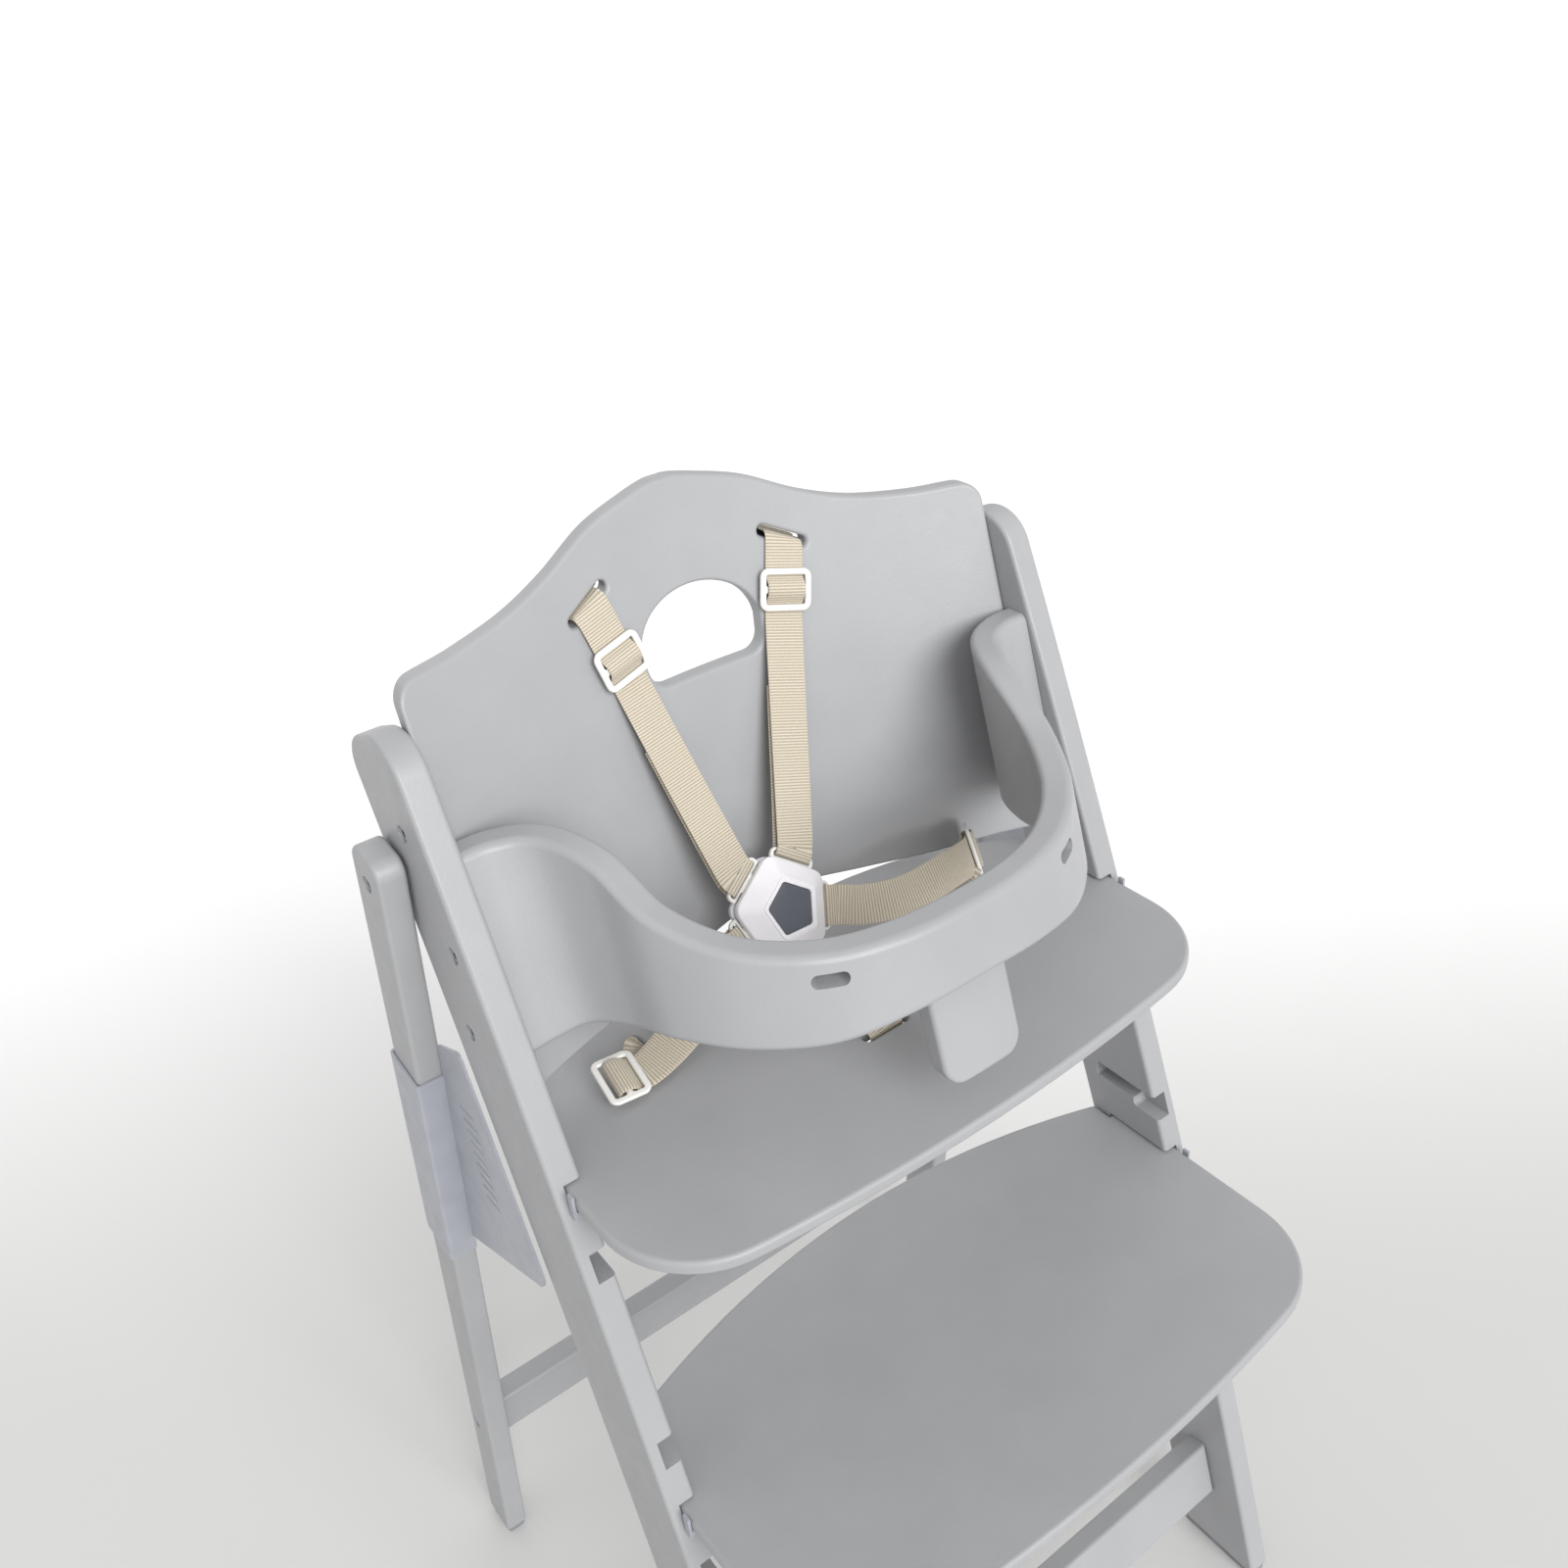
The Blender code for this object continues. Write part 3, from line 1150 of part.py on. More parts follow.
def make_buckle():
    front_top = cover_face + BUCKLE_FRONT
    badge_top = front_top - TOUCH_GAP
    flange_top = badge_top - BADGE_THICK
    flange_low = flange_top - BADGE_FLANGE_THICK
    levels = ((BUCKLE_RADIUS, BUCKLE_CORNER, 0), (BUCKLE_RADIUS, BUCKLE_CORNER, BUCKLE_SKIRT),
              (BUCKLE_FACE_RADIUS, BUCKLE_FACE_CORNER, BUCKLE_FRONT))
    front = set_in_buckle(lofted([[Vector((*spot, level)) for spot in pentagon(radius, corner)]
                                  for radius, corner, level in levels]), cover_face)
    well = set_in_buckle(plate(pentagon(BADGE_RADIUS + TOUCH_GAP, BADGE_CORNER, 2), BUCKLE_FRONT * 2),
                         front_top)
    front = boolean(front, well, "DIFFERENCE", "badge_well_cutter")
    recess_depth = flange_top + TOUCH_GAP - cover_face + OVERRUN
    recess = set_in_buckle(plate(pentagon(BADGE_RADIUS + BADGE_FLANGE + TOUCH_GAP, BADGE_CORNER, 2),
                                 recess_depth), flange_top + TOUCH_GAP - recess_depth / 2)
    front = boolean(front, recess, "DIFFERENCE", "badge_recess_cutter")
    place("buckle_front_cover", front, BUCKLE_PLASTIC, chair, buckle_centre + buckle_out * cover_face)
    badge = set_in_buckle(plate(pentagon(BADGE_RADIUS, BADGE_CORNER, 2), BADGE_THICK + OVERRUN / 4),
                          badge_top - (BADGE_THICK + OVERRUN / 4) / 2)
    flange = set_in_buckle(plate(pentagon(BADGE_RADIUS + BADGE_FLANGE, BADGE_CORNER, 2), BADGE_FLANGE_THICK),
                           (flange_top + flange_low) / 2)
    badge = boolean(badge, flange, "UNION", "badge_flange")
    at = buckle_centre + buckle_out * badge_top
    place("buckle_button", badge, BADGE_PLASTIC, empty("button_slide", at, chair), at)
    back = plate(pentagon(BUCKLE_RADIUS, BUCKLE_CORNER), BUCKLE_BACK, BUCKLE_ROUND)
    back.transform(Matrix.Translation((0, 0, -cover_face - BUCKLE_BACK / 2)))
    post_ring = BUCKLE_RADIUS - BUCKLE_CORNER - TOUCH_GAP
    for k in range(5):
        angle = math.pi / 2 + BUCKLE_SPIN + math.tau * k / 5
        spot = (post_ring * math.cos(angle), post_ring * math.sin(angle))
        key = cylinder((*spot, -cover_face - BUCKLE_BACK / 2), (*spot, cover_face - TOUCH_GAP),
                       KEY_POST_RADIUS, 8)
        back = boolean(back, key, "UNION", "key_post")
    pocket_radius = SPRING_RADIUS + SPRING_WIRE + TOUCH_GAP
    pocket = cylinder((0, 0, -cover_face - SPRING_POCKET), (0, 0, 0), pocket_radius)
    back = boolean(back, pocket, "DIFFERENCE", "spring_pocket_cutter")
    place("buckle_back_cover", set_in_buckle(back, 0), BUCKLE_PLASTIC, chair,
          buckle_centre - buckle_out * cover_face)
    low = -cover_face - SPRING_POCKET + TOUCH_GAP + SPRING_WIRE
    high = flange_low - BADGE_TRAVEL - TOUCH_GAP - SPRING_WIRE
    curve = bpy.data.curves.new("spring", "CURVE")
    curve.dimensions = "3D"
    curve.bevel_depth = SPRING_WIRE
    curve.bevel_resolution = 0
    curve.use_fill_caps = True
    spline = curve.splines.new("POLY")
    count = SPRING_TURNS * 10
    spline.points.add(count)
    for k, point in enumerate(spline.points):
        angle = math.tau * k / 10
        point.co = (SPRING_RADIUS * math.cos(angle), SPRING_RADIUS * math.sin(angle),
                    low + (high - low) * k / count, 1)
    spring = set_in_buckle(mesh_of_curve(curve), 0)
    place("buckle_spring", spring, STEEL, chair, buckle_centre + buckle_out * low)


def back_point(side, height, off):
    """A point at a distance in front of the backrest's front face."""
    normal = back_normal(side)
    return Vector((side, back_front(side, height), height)) + normal * off


def back_normal(side):
    return Vector((-side / math.sqrt(BACK_RADIUS ** 2 - side ** 2), -1, RAKE)).normalized()


def make_shoulder_strap(name, sign, index, slider_drop):
    """Shoulder strap: out of the backrest, through its slider, round its tongue and back up behind itself."""
    slot = back_point(sign * SHOULDER_SLOT_SIDE, shoulder_slot_height, 0)
    normal = back_normal(slot.x)
    tilt = SHOULDER_SLOT_TILT
    along_slot = back_point(slot.x + math.cos(tilt) * WEB_WIDTH * sign,
                            slot.z - math.sin(tilt) * WEB_WIDTH, 0) - slot
    down, slot_wide, normal = frame_of(normal.cross(along_slot) * -sign, along_slot * sign)
    path = anchored("anchor_pin_" + name, slot, down, normal, slot_wide, BACK_THICK)
    lift = ply_lift * 1.4 + SLIDER_PLY_DROP
    centre = back_point(sign * (SHOULDER_SLOT_SIDE - SHOULDER_SLIDER_SHIFT),
                        shoulder_slot_height - slider_drop, lift)
    travel, wide, out = frame_of(centre - slot - normal * lift, slot_wide)
    end = SLIDER_LENGTH / 2 + SLIDER_BAR
    path += along(centre, travel, wide, out, (
        (-end, -SLIDER_PLY_DROP), (-inner_turn, -SLIDER_PLY_DROP), (-bar_turn, SLIDER_PLY_RISE),
        (bar_turn, SLIDER_PLY_RISE), (inner_turn, -SLIDER_PLY_DROP), (end, -SLIDER_PLY_DROP)))
    slider("slider_" + name, centre, travel, wide, out)
    loop = tongue_loop(index, tongue_end + STRAP_RUN, wide)[1:-1]
    (leave, leave_wide), (arrive, arrive_wide) = path[-1], loop[0]
    ply_end = leave.lerp(arrive, RETURN_PLY_SHARE) - out * RETURN_PLY_GAP
    back_up = [(ply_end, leave_wide.lerp(arrive_wide, RETURN_PLY_SHARE))]
    strap("strap_" + name, path + hung(path[-1], loop[0], SHOULDER_SHARES) + loop + back_up)


def make_waist_strap(name, sign, shift, travel, wide, lead, shares, index):
    """Waist strap: from its seat slot, under the slider and back over its middle bar."""
    slot = Vector((sign * waist_slot_side, WAIST_SLOT_DEPTH, seat_top))
    away = Vector((sign, 0, 0))
    travel, wide, out = frame_of(travel, wide)
    path = anchored("anchor_pin_" + name, slot, away, Vector((0, 0, 1)), Vector((0, sign, 0)), BOARD_THICK)
    path += [(slot + Vector(step), Vector(turned_wide)) for step, turned_wide in lead]
    second = SLIDER_PLY_DROP + WEB_THICK + PLY_GAP
    far = SLIDER_BAR / 2 + slider_window * 0.56
    end = SLIDER_LENGTH / 2 + SLIDER_BAR
    centre = slot + Vector(shift)
    path += along(centre, travel, wide, out, (
        (-SLIDER_LENGTH / 2 - SLIDER_BAR / 3, -second), (far, -second), (far, SLIDER_PLY_RISE),
        (-bar_turn, SLIDER_PLY_RISE), (-inner_turn, -SLIDER_PLY_DROP), (-end, -SLIDER_PLY_DROP)))
    slider("slider_" + name, centre, travel, wide, out)
    loop = tongue_loop(index, tongue_end + STRAP_RUN, wide)
    strap("strap_" + name, path + hung(path[-1], loop[0], shares) + loop)


def hung(leave, arrive, shares):
    """Points of a free stretch: share of the way, then forward and up as shares of its span."""
    span = (arrive[0] - leave[0]).length
    points = []
    for share, forward, up in shares:
        spot = leave[0].lerp(arrive[0], share) + Vector((0, -forward * span, up * span))
        points.append((spot, leave[1].lerp(arrive[1], share)))
    return points


def make_harness():
    make_shoulder_strap("left_shoulder", -1, 0, LEFT_SHOULDER_SLIDER_DROP)
    make_shoulder_strap("right_shoulder", 1, 4, RIGHT_SHOULDER_SLIDER_DROP)
    lead = [((-ply_lift, 0, LEFT_WAIST_RISE), (0, -1, 0))]
    make_waist_strap("left_waist", -1, LEFT_WAIST_SLIDER_SHIFT, (-0.985, 0.12, 0), (-0.10, -0.98, -0.17),
                     lead, LEFT_WAIST_SHARES, 1)
    lead = [((-RIGHT_WAIST_LEAD / 2, -RIGHT_WAIST_LEAD, RIGHT_WAIST_RISE), (0, 0.95, 0.30)),
            ((-RIGHT_WAIST_LEAD / 2, -RIGHT_WAIST_LEAD * 2.5, RIGHT_WAIST_RISE * 1.8), (0, 0.70, 0.70))]
    side = waist_slot_side + RIGHT_WAIST_SLIDER_SHIFT
    depth = back_front(side, seat_top + RIGHT_WAIST_SLIDER_RISE) - RIGHT_WAIST_SLIDER_BACK_GAP
    shift = (RIGHT_WAIST_SLIDER_SHIFT, depth - WAIST_SLOT_DEPTH, RIGHT_WAIST_SLIDER_RISE)
    make_waist_strap("right_waist", 1, shift, (0.58, 0.725, -0.369), (0, 0.45, 0.89),
                     lead, RIGHT_WAIST_SHARES, 3)
    slot = Vector((0, -CROTCH_SLOT_INSET, seat_top))
    across = Vector((1, 0, 0))
    path = anchored("anchor_pin_crotch", slot, Vector((0, 1, 0)), Vector((0, 0, 1)), across, BOARD_THICK)
    loop = tongue_loop(2, tongue_end + STRAP_RUN, across)
    strap("strap_crotch", path + hung(path[-1], loop[0], CROTCH_SHARES) + loop)


make_front_legs()
make_rear_legs()
make_rails()
make_bolts()
make_pivots()
make_pads()
footrest_slide = make_boards()
make_backrest()
make_guard()
make_post()
make_catches(footrest_slide)
make_fold_guards()
make_tongues()
make_buckle()
make_harness()
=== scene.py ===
# Folding painted high chair with a five-point harness: its looks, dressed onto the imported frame.
import math

import bmesh
import bpy
from mathutils import Matrix, Vector


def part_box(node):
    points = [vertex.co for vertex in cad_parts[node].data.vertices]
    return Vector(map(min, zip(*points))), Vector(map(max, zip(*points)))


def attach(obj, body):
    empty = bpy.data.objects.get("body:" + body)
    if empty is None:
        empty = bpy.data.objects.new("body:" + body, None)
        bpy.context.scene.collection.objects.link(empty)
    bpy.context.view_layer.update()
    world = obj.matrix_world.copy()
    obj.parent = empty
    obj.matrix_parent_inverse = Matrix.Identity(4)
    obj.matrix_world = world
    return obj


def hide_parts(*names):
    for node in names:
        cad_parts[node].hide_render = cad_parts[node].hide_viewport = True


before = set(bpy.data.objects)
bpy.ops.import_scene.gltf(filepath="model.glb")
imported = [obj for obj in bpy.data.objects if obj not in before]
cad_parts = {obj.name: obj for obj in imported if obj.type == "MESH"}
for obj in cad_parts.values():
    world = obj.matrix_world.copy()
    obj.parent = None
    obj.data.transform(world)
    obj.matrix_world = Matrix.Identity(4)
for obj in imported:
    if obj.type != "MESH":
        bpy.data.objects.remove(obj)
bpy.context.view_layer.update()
scene = bpy.context.scene
scene.view_settings.view_transform = "Standard"

# Seat frame: between the front legs, at their front edges, level with the top of the seat grooves
chair = {"seatHeight": 0.570, "inner": 0.200, "gap": 0.0003, "over": 0.002, "weld": 0.00001,
         "rake": math.tan(math.radians(16)), "sharpAngle": math.radians(35)}
rearLeg = {"thick": 0.017, "width": 0.033, "splay": math.radians(9.2), "topReach": 0.020,
           "topRound": 0.010, "pivotDepth": 0.120, "pivotHeight": 0.1455, "foldGap": 0.0016}
washerLow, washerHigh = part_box("pivot_washer_right")
seatPlace = Vector((0, (washerLow.y + washerHigh.y) / 2 - rearLeg["pivotDepth"], chair["seatHeight"]))
touch, over, legInner = chair["gap"], chair["over"], chair["inner"]    # over: what a cutter reaches past


# Small tools

def pick(*pieces):
    bpy.ops.object.select_all(action="DESELECT")
    for piece in pieces:
        piece.select_set(True)
        bpy.context.view_layer.objects.active = pieces[0]


def roundCorners(corners, radii, steps=8):
    points = []
    count = len(corners)
    for i, corner in enumerate(corners):
        here = Vector(corner)
        before = (Vector(corners[i - 1]) - here).normalized()
        after = (Vector(corners[(i + 1) % count]) - here).normalized()
        opening = before.angle(after)
        if radii[i] == 0 or opening > math.pi - 0.01:
            points.append(here)
            continue
        reach = radii[i] / math.tan(opening / 2)
        centre = here + (before + after).normalized() * radii[i] / math.sin(opening / 2)
        start = here + before * reach - centre
        sweep = (here + after * reach - centre).angle_signed(start)
        for k in range(steps + 1):
            turned = start.copy()
            turned.rotate(Matrix.Rotation(sweep * k / steps, 2))
            points.append(centre + turned)
    return points


def rectangle(x0, y0, x1, y1):
    return [(x0, y0), (x1, y0), (x1, y1), (x0, y1)]


def roundedBox(x0, y0, x1, y1, radius, steps):
    return roundCorners(rectangle(x0, y0, x1, y1), [radius] * 4, steps)


def smoothValue(knots, position):       # Catmull-Rom through the knots
    last = len(knots) - 1
    i = min(int(position), last - 1)
    t = position - i
    a = knots[i - 1] if i > 0 else knots[0] * 2 - knots[1]
    b, c = knots[i], knots[i + 1]
    d = knots[i + 2] if i + 2 <= last else knots[last] * 2 - knots[last - 1]
    return 0.5 * (b * 2 + (c - a) * t + (a * 2 - b * 5 + c * 4 - d) * t ** 2
                  + (b * 3 - a - c * 3 + d) * t ** 3)


def meshPiece(name, points, edges, faces):
    mesh = bpy.data.meshes.new(name)
    mesh.from_pydata(points, edges, faces)
    piece = bpy.data.objects.new(name, mesh)
    scene.collection.objects.link(piece)
    return piece


def shift(piece, *place):
    piece.data.transform(Matrix.Translation(place))
    return piece


def turnOutwards(piece):
    work = bmesh.new()
    work.from_mesh(piece.data)
    bmesh.ops.remove_doubles(work, verts=work.verts, dist=chair["weld"])
    bmesh.ops.recalc_face_normals(work, faces=work.faces)
    if work.calc_volume(signed=True) < 0:
        bmesh.ops.reverse_faces(work, faces=work.faces)
    work.to_mesh(piece.data)
    work.free()
    return piece


def sawBoard(name, outline, thick, edgeRound=0.0, holes=(), edgeSteps=5):
    # A flat outline cut from board and rounded over, drawn as a filled curve and made a mesh
    curve = bpy.data.curves.new(name, "CURVE")
    curve.dimensions = "2D"
    curve.fill_mode = "BOTH"
    curve.extrude = thick / 2 - edgeRound
    curve.bevel_depth = edgeRound
    curve.bevel_resolution = edgeSteps
    curve.offset = -edgeRound
    for index, loop in enumerate((outline, *holes)):
        turns = sum(a[0] * b[1] - b[0] * a[1] for a, b in zip(loop, [*loop[1:], loop[0]]))
        ordered = list(loop) if (turns > 0) == (index == 0) else list(reversed(loop))
        spline = curve.splines.new("POLY")
        spline.points.add(len(ordered) - 1)
        for point, place in zip(spline.points, ordered):
            point.co = (place[0], place[1], 0, 1)
        spline.use_cyclic_u = True
    piece = bpy.data.objects.new(name, curve)
    scene.collection.objects.link(piece)
    pick(piece)
    bpy.ops.object.convert(target="MESH")
    piece = bpy.context.object
    bpy.ops.object.mode_set(mode="EDIT")
    bpy.ops.mesh.select_all(action="SELECT")
    bpy.ops.mesh.remove_doubles(threshold=chair["weld"])
    bpy.ops.mesh.dissolve_limited(angle_limit=math.radians(0.1))
    bpy.ops.object.mode_set(mode="OBJECT")
    return turnOutwards(piece)


def shapeBy(piece, rule):
    for vertex in piece.data.vertices:
        vertex.co = rule(vertex.co)
    return turnOutwards(piece)


def standBoard(piece, innerSide):       # drawn in (depth, height); its inner face goes to innerSide
    half = max(vertex.co.z for vertex in piece.data.vertices)
    return shapeBy(piece, lambda p: Vector((innerSide + half + p.z, p.x, p.y)))


def crossCut(piece, places):            # cuts square to X, so that the board can bend
    work = bmesh.new()
    work.from_mesh(piece.data)
    for place in places:
        bmesh.ops.bisect_plane(work, geom=work.verts[:] + work.edges[:] + work.faces[:],
                               dist=chair["weld"] / 10, plane_co=(place, 0, 0), plane_no=(1, 0, 0))
    work.to_mesh(piece.data)
    work.free()
    return piece


def mirrorCopy(piece, name):
    other = piece.copy()
    other.data = piece.data.copy()
    other.name = name
    scene.collection.objects.link(other)
    other.data.transform(Matrix.Scale(-1, 4, (1, 0, 0)))
    other.data.flip_normals()
    return other


def together(pieces):
    if len(pieces) > 1:
        pick(*pieces)
        bpy.ops.object.join()
    return pieces[0]


def carve(piece, cutter, operation="DIFFERENCE"):
    pick(piece)
    step = piece.modifiers.new("carve", "BOOLEAN")
    step.operation = operation
    step.solver = "EXACT"
    step.object = cutter
    bpy.ops.object.modifier_apply(modifier=step.name)
    bpy.data.objects.remove(cutter, do_unlink=True)
    return piece


def roundBar(name, start, end, radius, sides=32):
    start, end = Vector(start), Vector(end)
    turn = (end - start).to_track_quat("Z", "Y").to_euler()
    pick()
    bpy.ops.mesh.primitive_cylinder_add(vertices=sides, radius=radius, depth=(end - start).length,
                                        location=(start + end) / 2, rotation=turn)
    piece = bpy.context.object
    piece.name = name
    bpy.ops.object.transform_apply(location=True, rotation=True, scale=True)
    return piece


def softenEnds(piece, width):           # bevels the two end rims of a round bar
    pick(piece)
    bpy.ops.object.mode_set(mode="EDIT")
    bpy.ops.mesh.select_all(action="SELECT")
    bpy.ops.mesh.edges_select_sharp(sharpness=math.radians(60))
    bpy.ops.mesh.bevel(offset=width, segments=3, affect="EDGES")
    bpy.ops.object.mode_set(mode="OBJECT")
    return piece


def skinRings(name, rings):
    size = len(rings[0])
    points = [p for ring in rings for p in ring]
    faces = [(i, j, size + j, size + i) for i, j in ((i, (i + 1) % size) for i in range(size))]
    faces = [tuple(start + corner for corner in face)
             for start in range(0, len(points) - size, size) for face in faces]
    faces += [tuple(range(size)), tuple(range(len(points) - size, len(points)))]
    return meshPiece(name, points, [], faces)


def camel(node):                        # front_leg gives frontLeg
    first, *words = node.split("_")
    return first + "".join(word.title() for word in words)


def finishPiece(piece, node, look, body="frame", name=""):
    shift(turnOutwards(piece), *seatPlace)
    piece.name = name or camel(node)
    pick(piece)
    bpy.ops.object.shade_smooth_by_angle(angle=chair["sharpAngle"])
    step = piece.modifiers.new("weighted", "WEIGHTED_NORMAL")
    step.keep_sharp = True
    bpy.ops.object.modifier_apply(modifier=step.name)
    piece.data.materials.clear()
    piece.data.materials.append(look["material"])
    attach(piece, body)
    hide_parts(node)


def finishPair(piece, node, look, left="frame", right="frame", name=""):
    name, other = name or camel(node), mirrorCopy(piece, "other")
    finishPiece(piece, node + "_right", look, right, name + "Right")
    finishPiece(other, node + "_left", look, left, name + "Left")


# Materials

# colours: the webbing's cream, the darker one a painted shade for the gaps between the ribs
ribbing = {"pitch": 0.0018, "samples": 8, "core": 0.00045, "rise": 0.00022, "selvedge": 0.0013,
           "edgeHalf": 0.00042, "ease": 0.0003, "roundness": 0.7, "cuts": 5, "yarn": 0.0011,
           "fuzz": (0.0014, -0.12, 0.12), "gloss": (0.003, 0.72, 0.88), "relief": 0.00006,
           "colours": ("#A39884", "#D0C8B8")}


def linear(code):
    values = [int(code[i:i + 2], 16) / 255 for i in (1, 3, 5)]
    return (*[v / 12.92 if v <= 0.04045 else ((v + 0.055) / 1.055) ** 2.4 for v in values], 1)


def addNode(tree, kind, settings=None, inputs=None):
    node = tree.nodes.new(kind)
    for key, value in (settings or {}).items():
        setattr(node, key, value)
    for key, value in (inputs or {}).items():
        if isinstance(value, bpy.types.NodeSocket):
            tree.links.new(value, node.inputs[key])
        else:
            node.inputs[key].default_value = value
    return node


def startLook(name, slot, **fixed):
    made = bpy.data.materials.new(name)
    made.use_nodes = True
    shader = made.node_tree.nodes["Principled BSDF"]
    for key, value in fixed.items():
        shader.inputs[key].default_value = value
    return {"material": made, "slot": slot}, made.node_tree, shader


def mottle(tree, coords, size, low, high, detail=3):
    # Noise with spots of a real size in metres, spread between two values
    noise = addNode(tree, "ShaderNodeTexNoise", None, {"Vector": coords, "Scale": 1 / size, "Detail": detail})
    spread = {"Value": noise.outputs["Fac"], "From Min": 0.3, "From Max": 0.7, "To Min": low, "To Max": high}
    return addNode(tree, "ShaderNodeMapRange", None, spread).outputs[0]


def tint(tree, amount, first, second):
    mix = addNode(tree, "ShaderNodeMix", {"data_type": "RGBA"}, {"Factor": amount})
    mix.inputs[6].default_value = linear(first)
    mix.inputs[7].default_value = linear(second)
    return mix.outputs[2]


def relief(tree, shader, height, depth):
    bump = addNode(tree, "ShaderNodeBump", None, {"Height": height, "Strength": 1.0, "Distance": depth})
    tree.links.new(bump.outputs["Normal"], shader.inputs["Normal"])


def spottedLook(name, slot, colours, spots, gloss, grit, depth, detail=2, **fixed):
    # Two close colours in soft spots, a little uneven gloss, and a fine relief
    look, tree, shader = startLook(name, slot, **fixed)
    coords = addNode(tree, "ShaderNodeTexCoord").outputs["Object"]
    tree.links.new(tint(tree, mottle(tree, coords, spots[0], 0, 1), *colours), shader.inputs["Base Color"])
    tree.links.new(mottle(tree, coords, spots[1], *gloss), shader.inputs["Roughness"])
    relief(tree, shader, mottle(tree, coords, grit, 0, 1, detail), depth)
    return look


# Ribbed polyester webbing: matt cream yarn, the ribs are in the mesh and the yarns in the bump; the colour
# also carries painted shade, darker in the gaps between the ribs
def webbingLook():
    look, tree, shader = startLook("ribbedPolyesterWebbing", "cream_webbing",
                                   **{"Sheen Weight": 0.25, "Sheen Roughness": 0.5, "IOR": 1.45})
    uv = addNode(tree, "ShaderNodeUVMap", {"uv_map": "strap"}).outputs["UV"]
    # A wave of scale s repeats every pi / (10 s) metres: first the ribs, whose gaps get a painted shade in
    # the colour, then the yarns across them
    rib = addNode(tree, "ShaderNodeTexWave", {"wave_type": "BANDS", "bands_direction": "X"},
                  {"Vector": uv, "Scale": math.pi / 10 / ribbing["pitch"], "Distortion": 0.0})
    yarn = addNode(tree, "ShaderNodeTexWave", {"wave_type": "BANDS", "bands_direction": "Y"},
                   {"Vector": uv, "Scale": math.pi / 10 / ribbing["yarn"], "Distortion": 0.6, "Detail": 1.0})
    fuzz = mottle(tree, uv, *ribbing["fuzz"])
    # painted rib-gap shade plus random fuzz of the yarn's tone
    ribShadeAndFuzz = addNode(tree, "ShaderNodeMath", {"operation": "ADD", "use_clamp": True},
                    {0: rib.outputs["Fac"], 1: fuzz})
    tree.links.new(tint(tree, ribShadeAndFuzz.outputs[0], *ribbing["colours"]), shader.inputs["Base Color"])
    tree.links.new(mottle(tree, uv, *ribbing["gloss"]), shader.inputs["Roughness"])
    relief(tree, shader, yarn.outputs["Fac"], ribbing["relief"])
    return look


# Water-based lacquer sprayed on beech and bent beech ply: even light grey, satin, with the 1 to 3 mm
# ripples of spray
lacquer = spottedLook("satinLacquerOnBeech", "painted_beech", ("#A2A3A5", "#9E9FA1"), (0.045, 0.012),
                      (0.38, 0.47), 0.0022, 0.00004,
                      **{"IOR": 1.49, "Coat Weight": 0.12, "Coat Roughness": 0.30})
webbing = webbingLook()
# Injection-moulded clear polycarbonate, misty from handling, faintly lilac where it is thick
clearPlastic = spottedLook("clearPolycarbonate", "clear_polycarbonate", ("#B4B7C0", "#BEC1C9"), (0.02, 0.008),
                           (0.30, 0.38), 0.012, 0.00004, 1, **{"IOR": 1.50, "Transmission Weight": 0.30})
# Zinc-plated bolts are bright; the pins in the strap ends are phosphated, nearly black
turned = {"slot": "zinc_plated_steel", "spots": (0.002, 0.0012), "gloss": (0.22, 0.38), "grit": 0.0005,
          "depth": 0.00001, "detail": 1}
steel = spottedLook("zincPlatedSteel", colours=("#B9BDC1", "#CDD0D3"), **turned, Metallic=1.0)
blackSteel = spottedLook("phosphatedSteel", colours=("#333436", "#3F4042"), **turned, Metallic=0.5)
# Moulded plastics, with the mould's fine spark-eroded grain. Acetal sliders and washers: white, waxy gloss;
# ABS buckle: pale grey, satin; its button: dark, matt; polyethylene foot pads: grey, matt
moulded = (0.018, 0.006)
acetal = spottedLook("whiteAcetal", "white_acetal", ("#E9E8E4", "#E3E2DE"), moulded, (0.25, 0.35),
                     0.0012, 0.000015)
buckleAbs = spottedLook("paleGreyAbs", "buckle_grey_plastic", ("#F6F4F7", "#F0EFF2"), moulded, (0.31, 0.41),
                        0.0008, 0.00002)
buttonAbs = spottedLook("darkGreyAbs", "badge_dark_plastic", ("#5C5F6A", "#54575F"), moulded, (0.43, 0.53),
                        0.0006, 0.00003)
padPlastic = spottedLook("greyPolyethylene", "pad_grey_plastic", ("#8C8E91", "#7F8184"), moulded,
                         (0.55, 0.65), 0.0010, 0.00005)
print("materials made")


# Camera, light and floor

view = {"place": (-0.413, -0.5302, 0.5738), "turn": math.radians(-34.5542), "down": math.radians(31.3944),
        "roll": math.radians(4.7984), "lens": 33.354, "sensor": 36.0}


def makeCamera():
    a, e, ro = view["turn"], view["down"], view["roll"]
    ahead = Vector((-math.sin(a) * math.cos(e), math.cos(a) * math.cos(e), -math.sin(e)))
    right = Vector((math.cos(a), math.sin(a), 0))
    below = ahead.cross(right)
    across = right * math.cos(ro) + below * math.sin(ro)
    down = below * math.cos(ro) - right * math.sin(ro)
    pick()
    bpy.ops.object.camera_add()
    camera = bpy.context.object
    camera.data.lens = view["lens"]
    camera.data.sensor_width = view["sensor"]
    turn = Matrix((across, -down, -ahead)).transposed().to_4x4()
    camera.matrix_world = Matrix.Translation(Vector(view["place"]) + seatPlace) @ turn
    scene.camera = camera
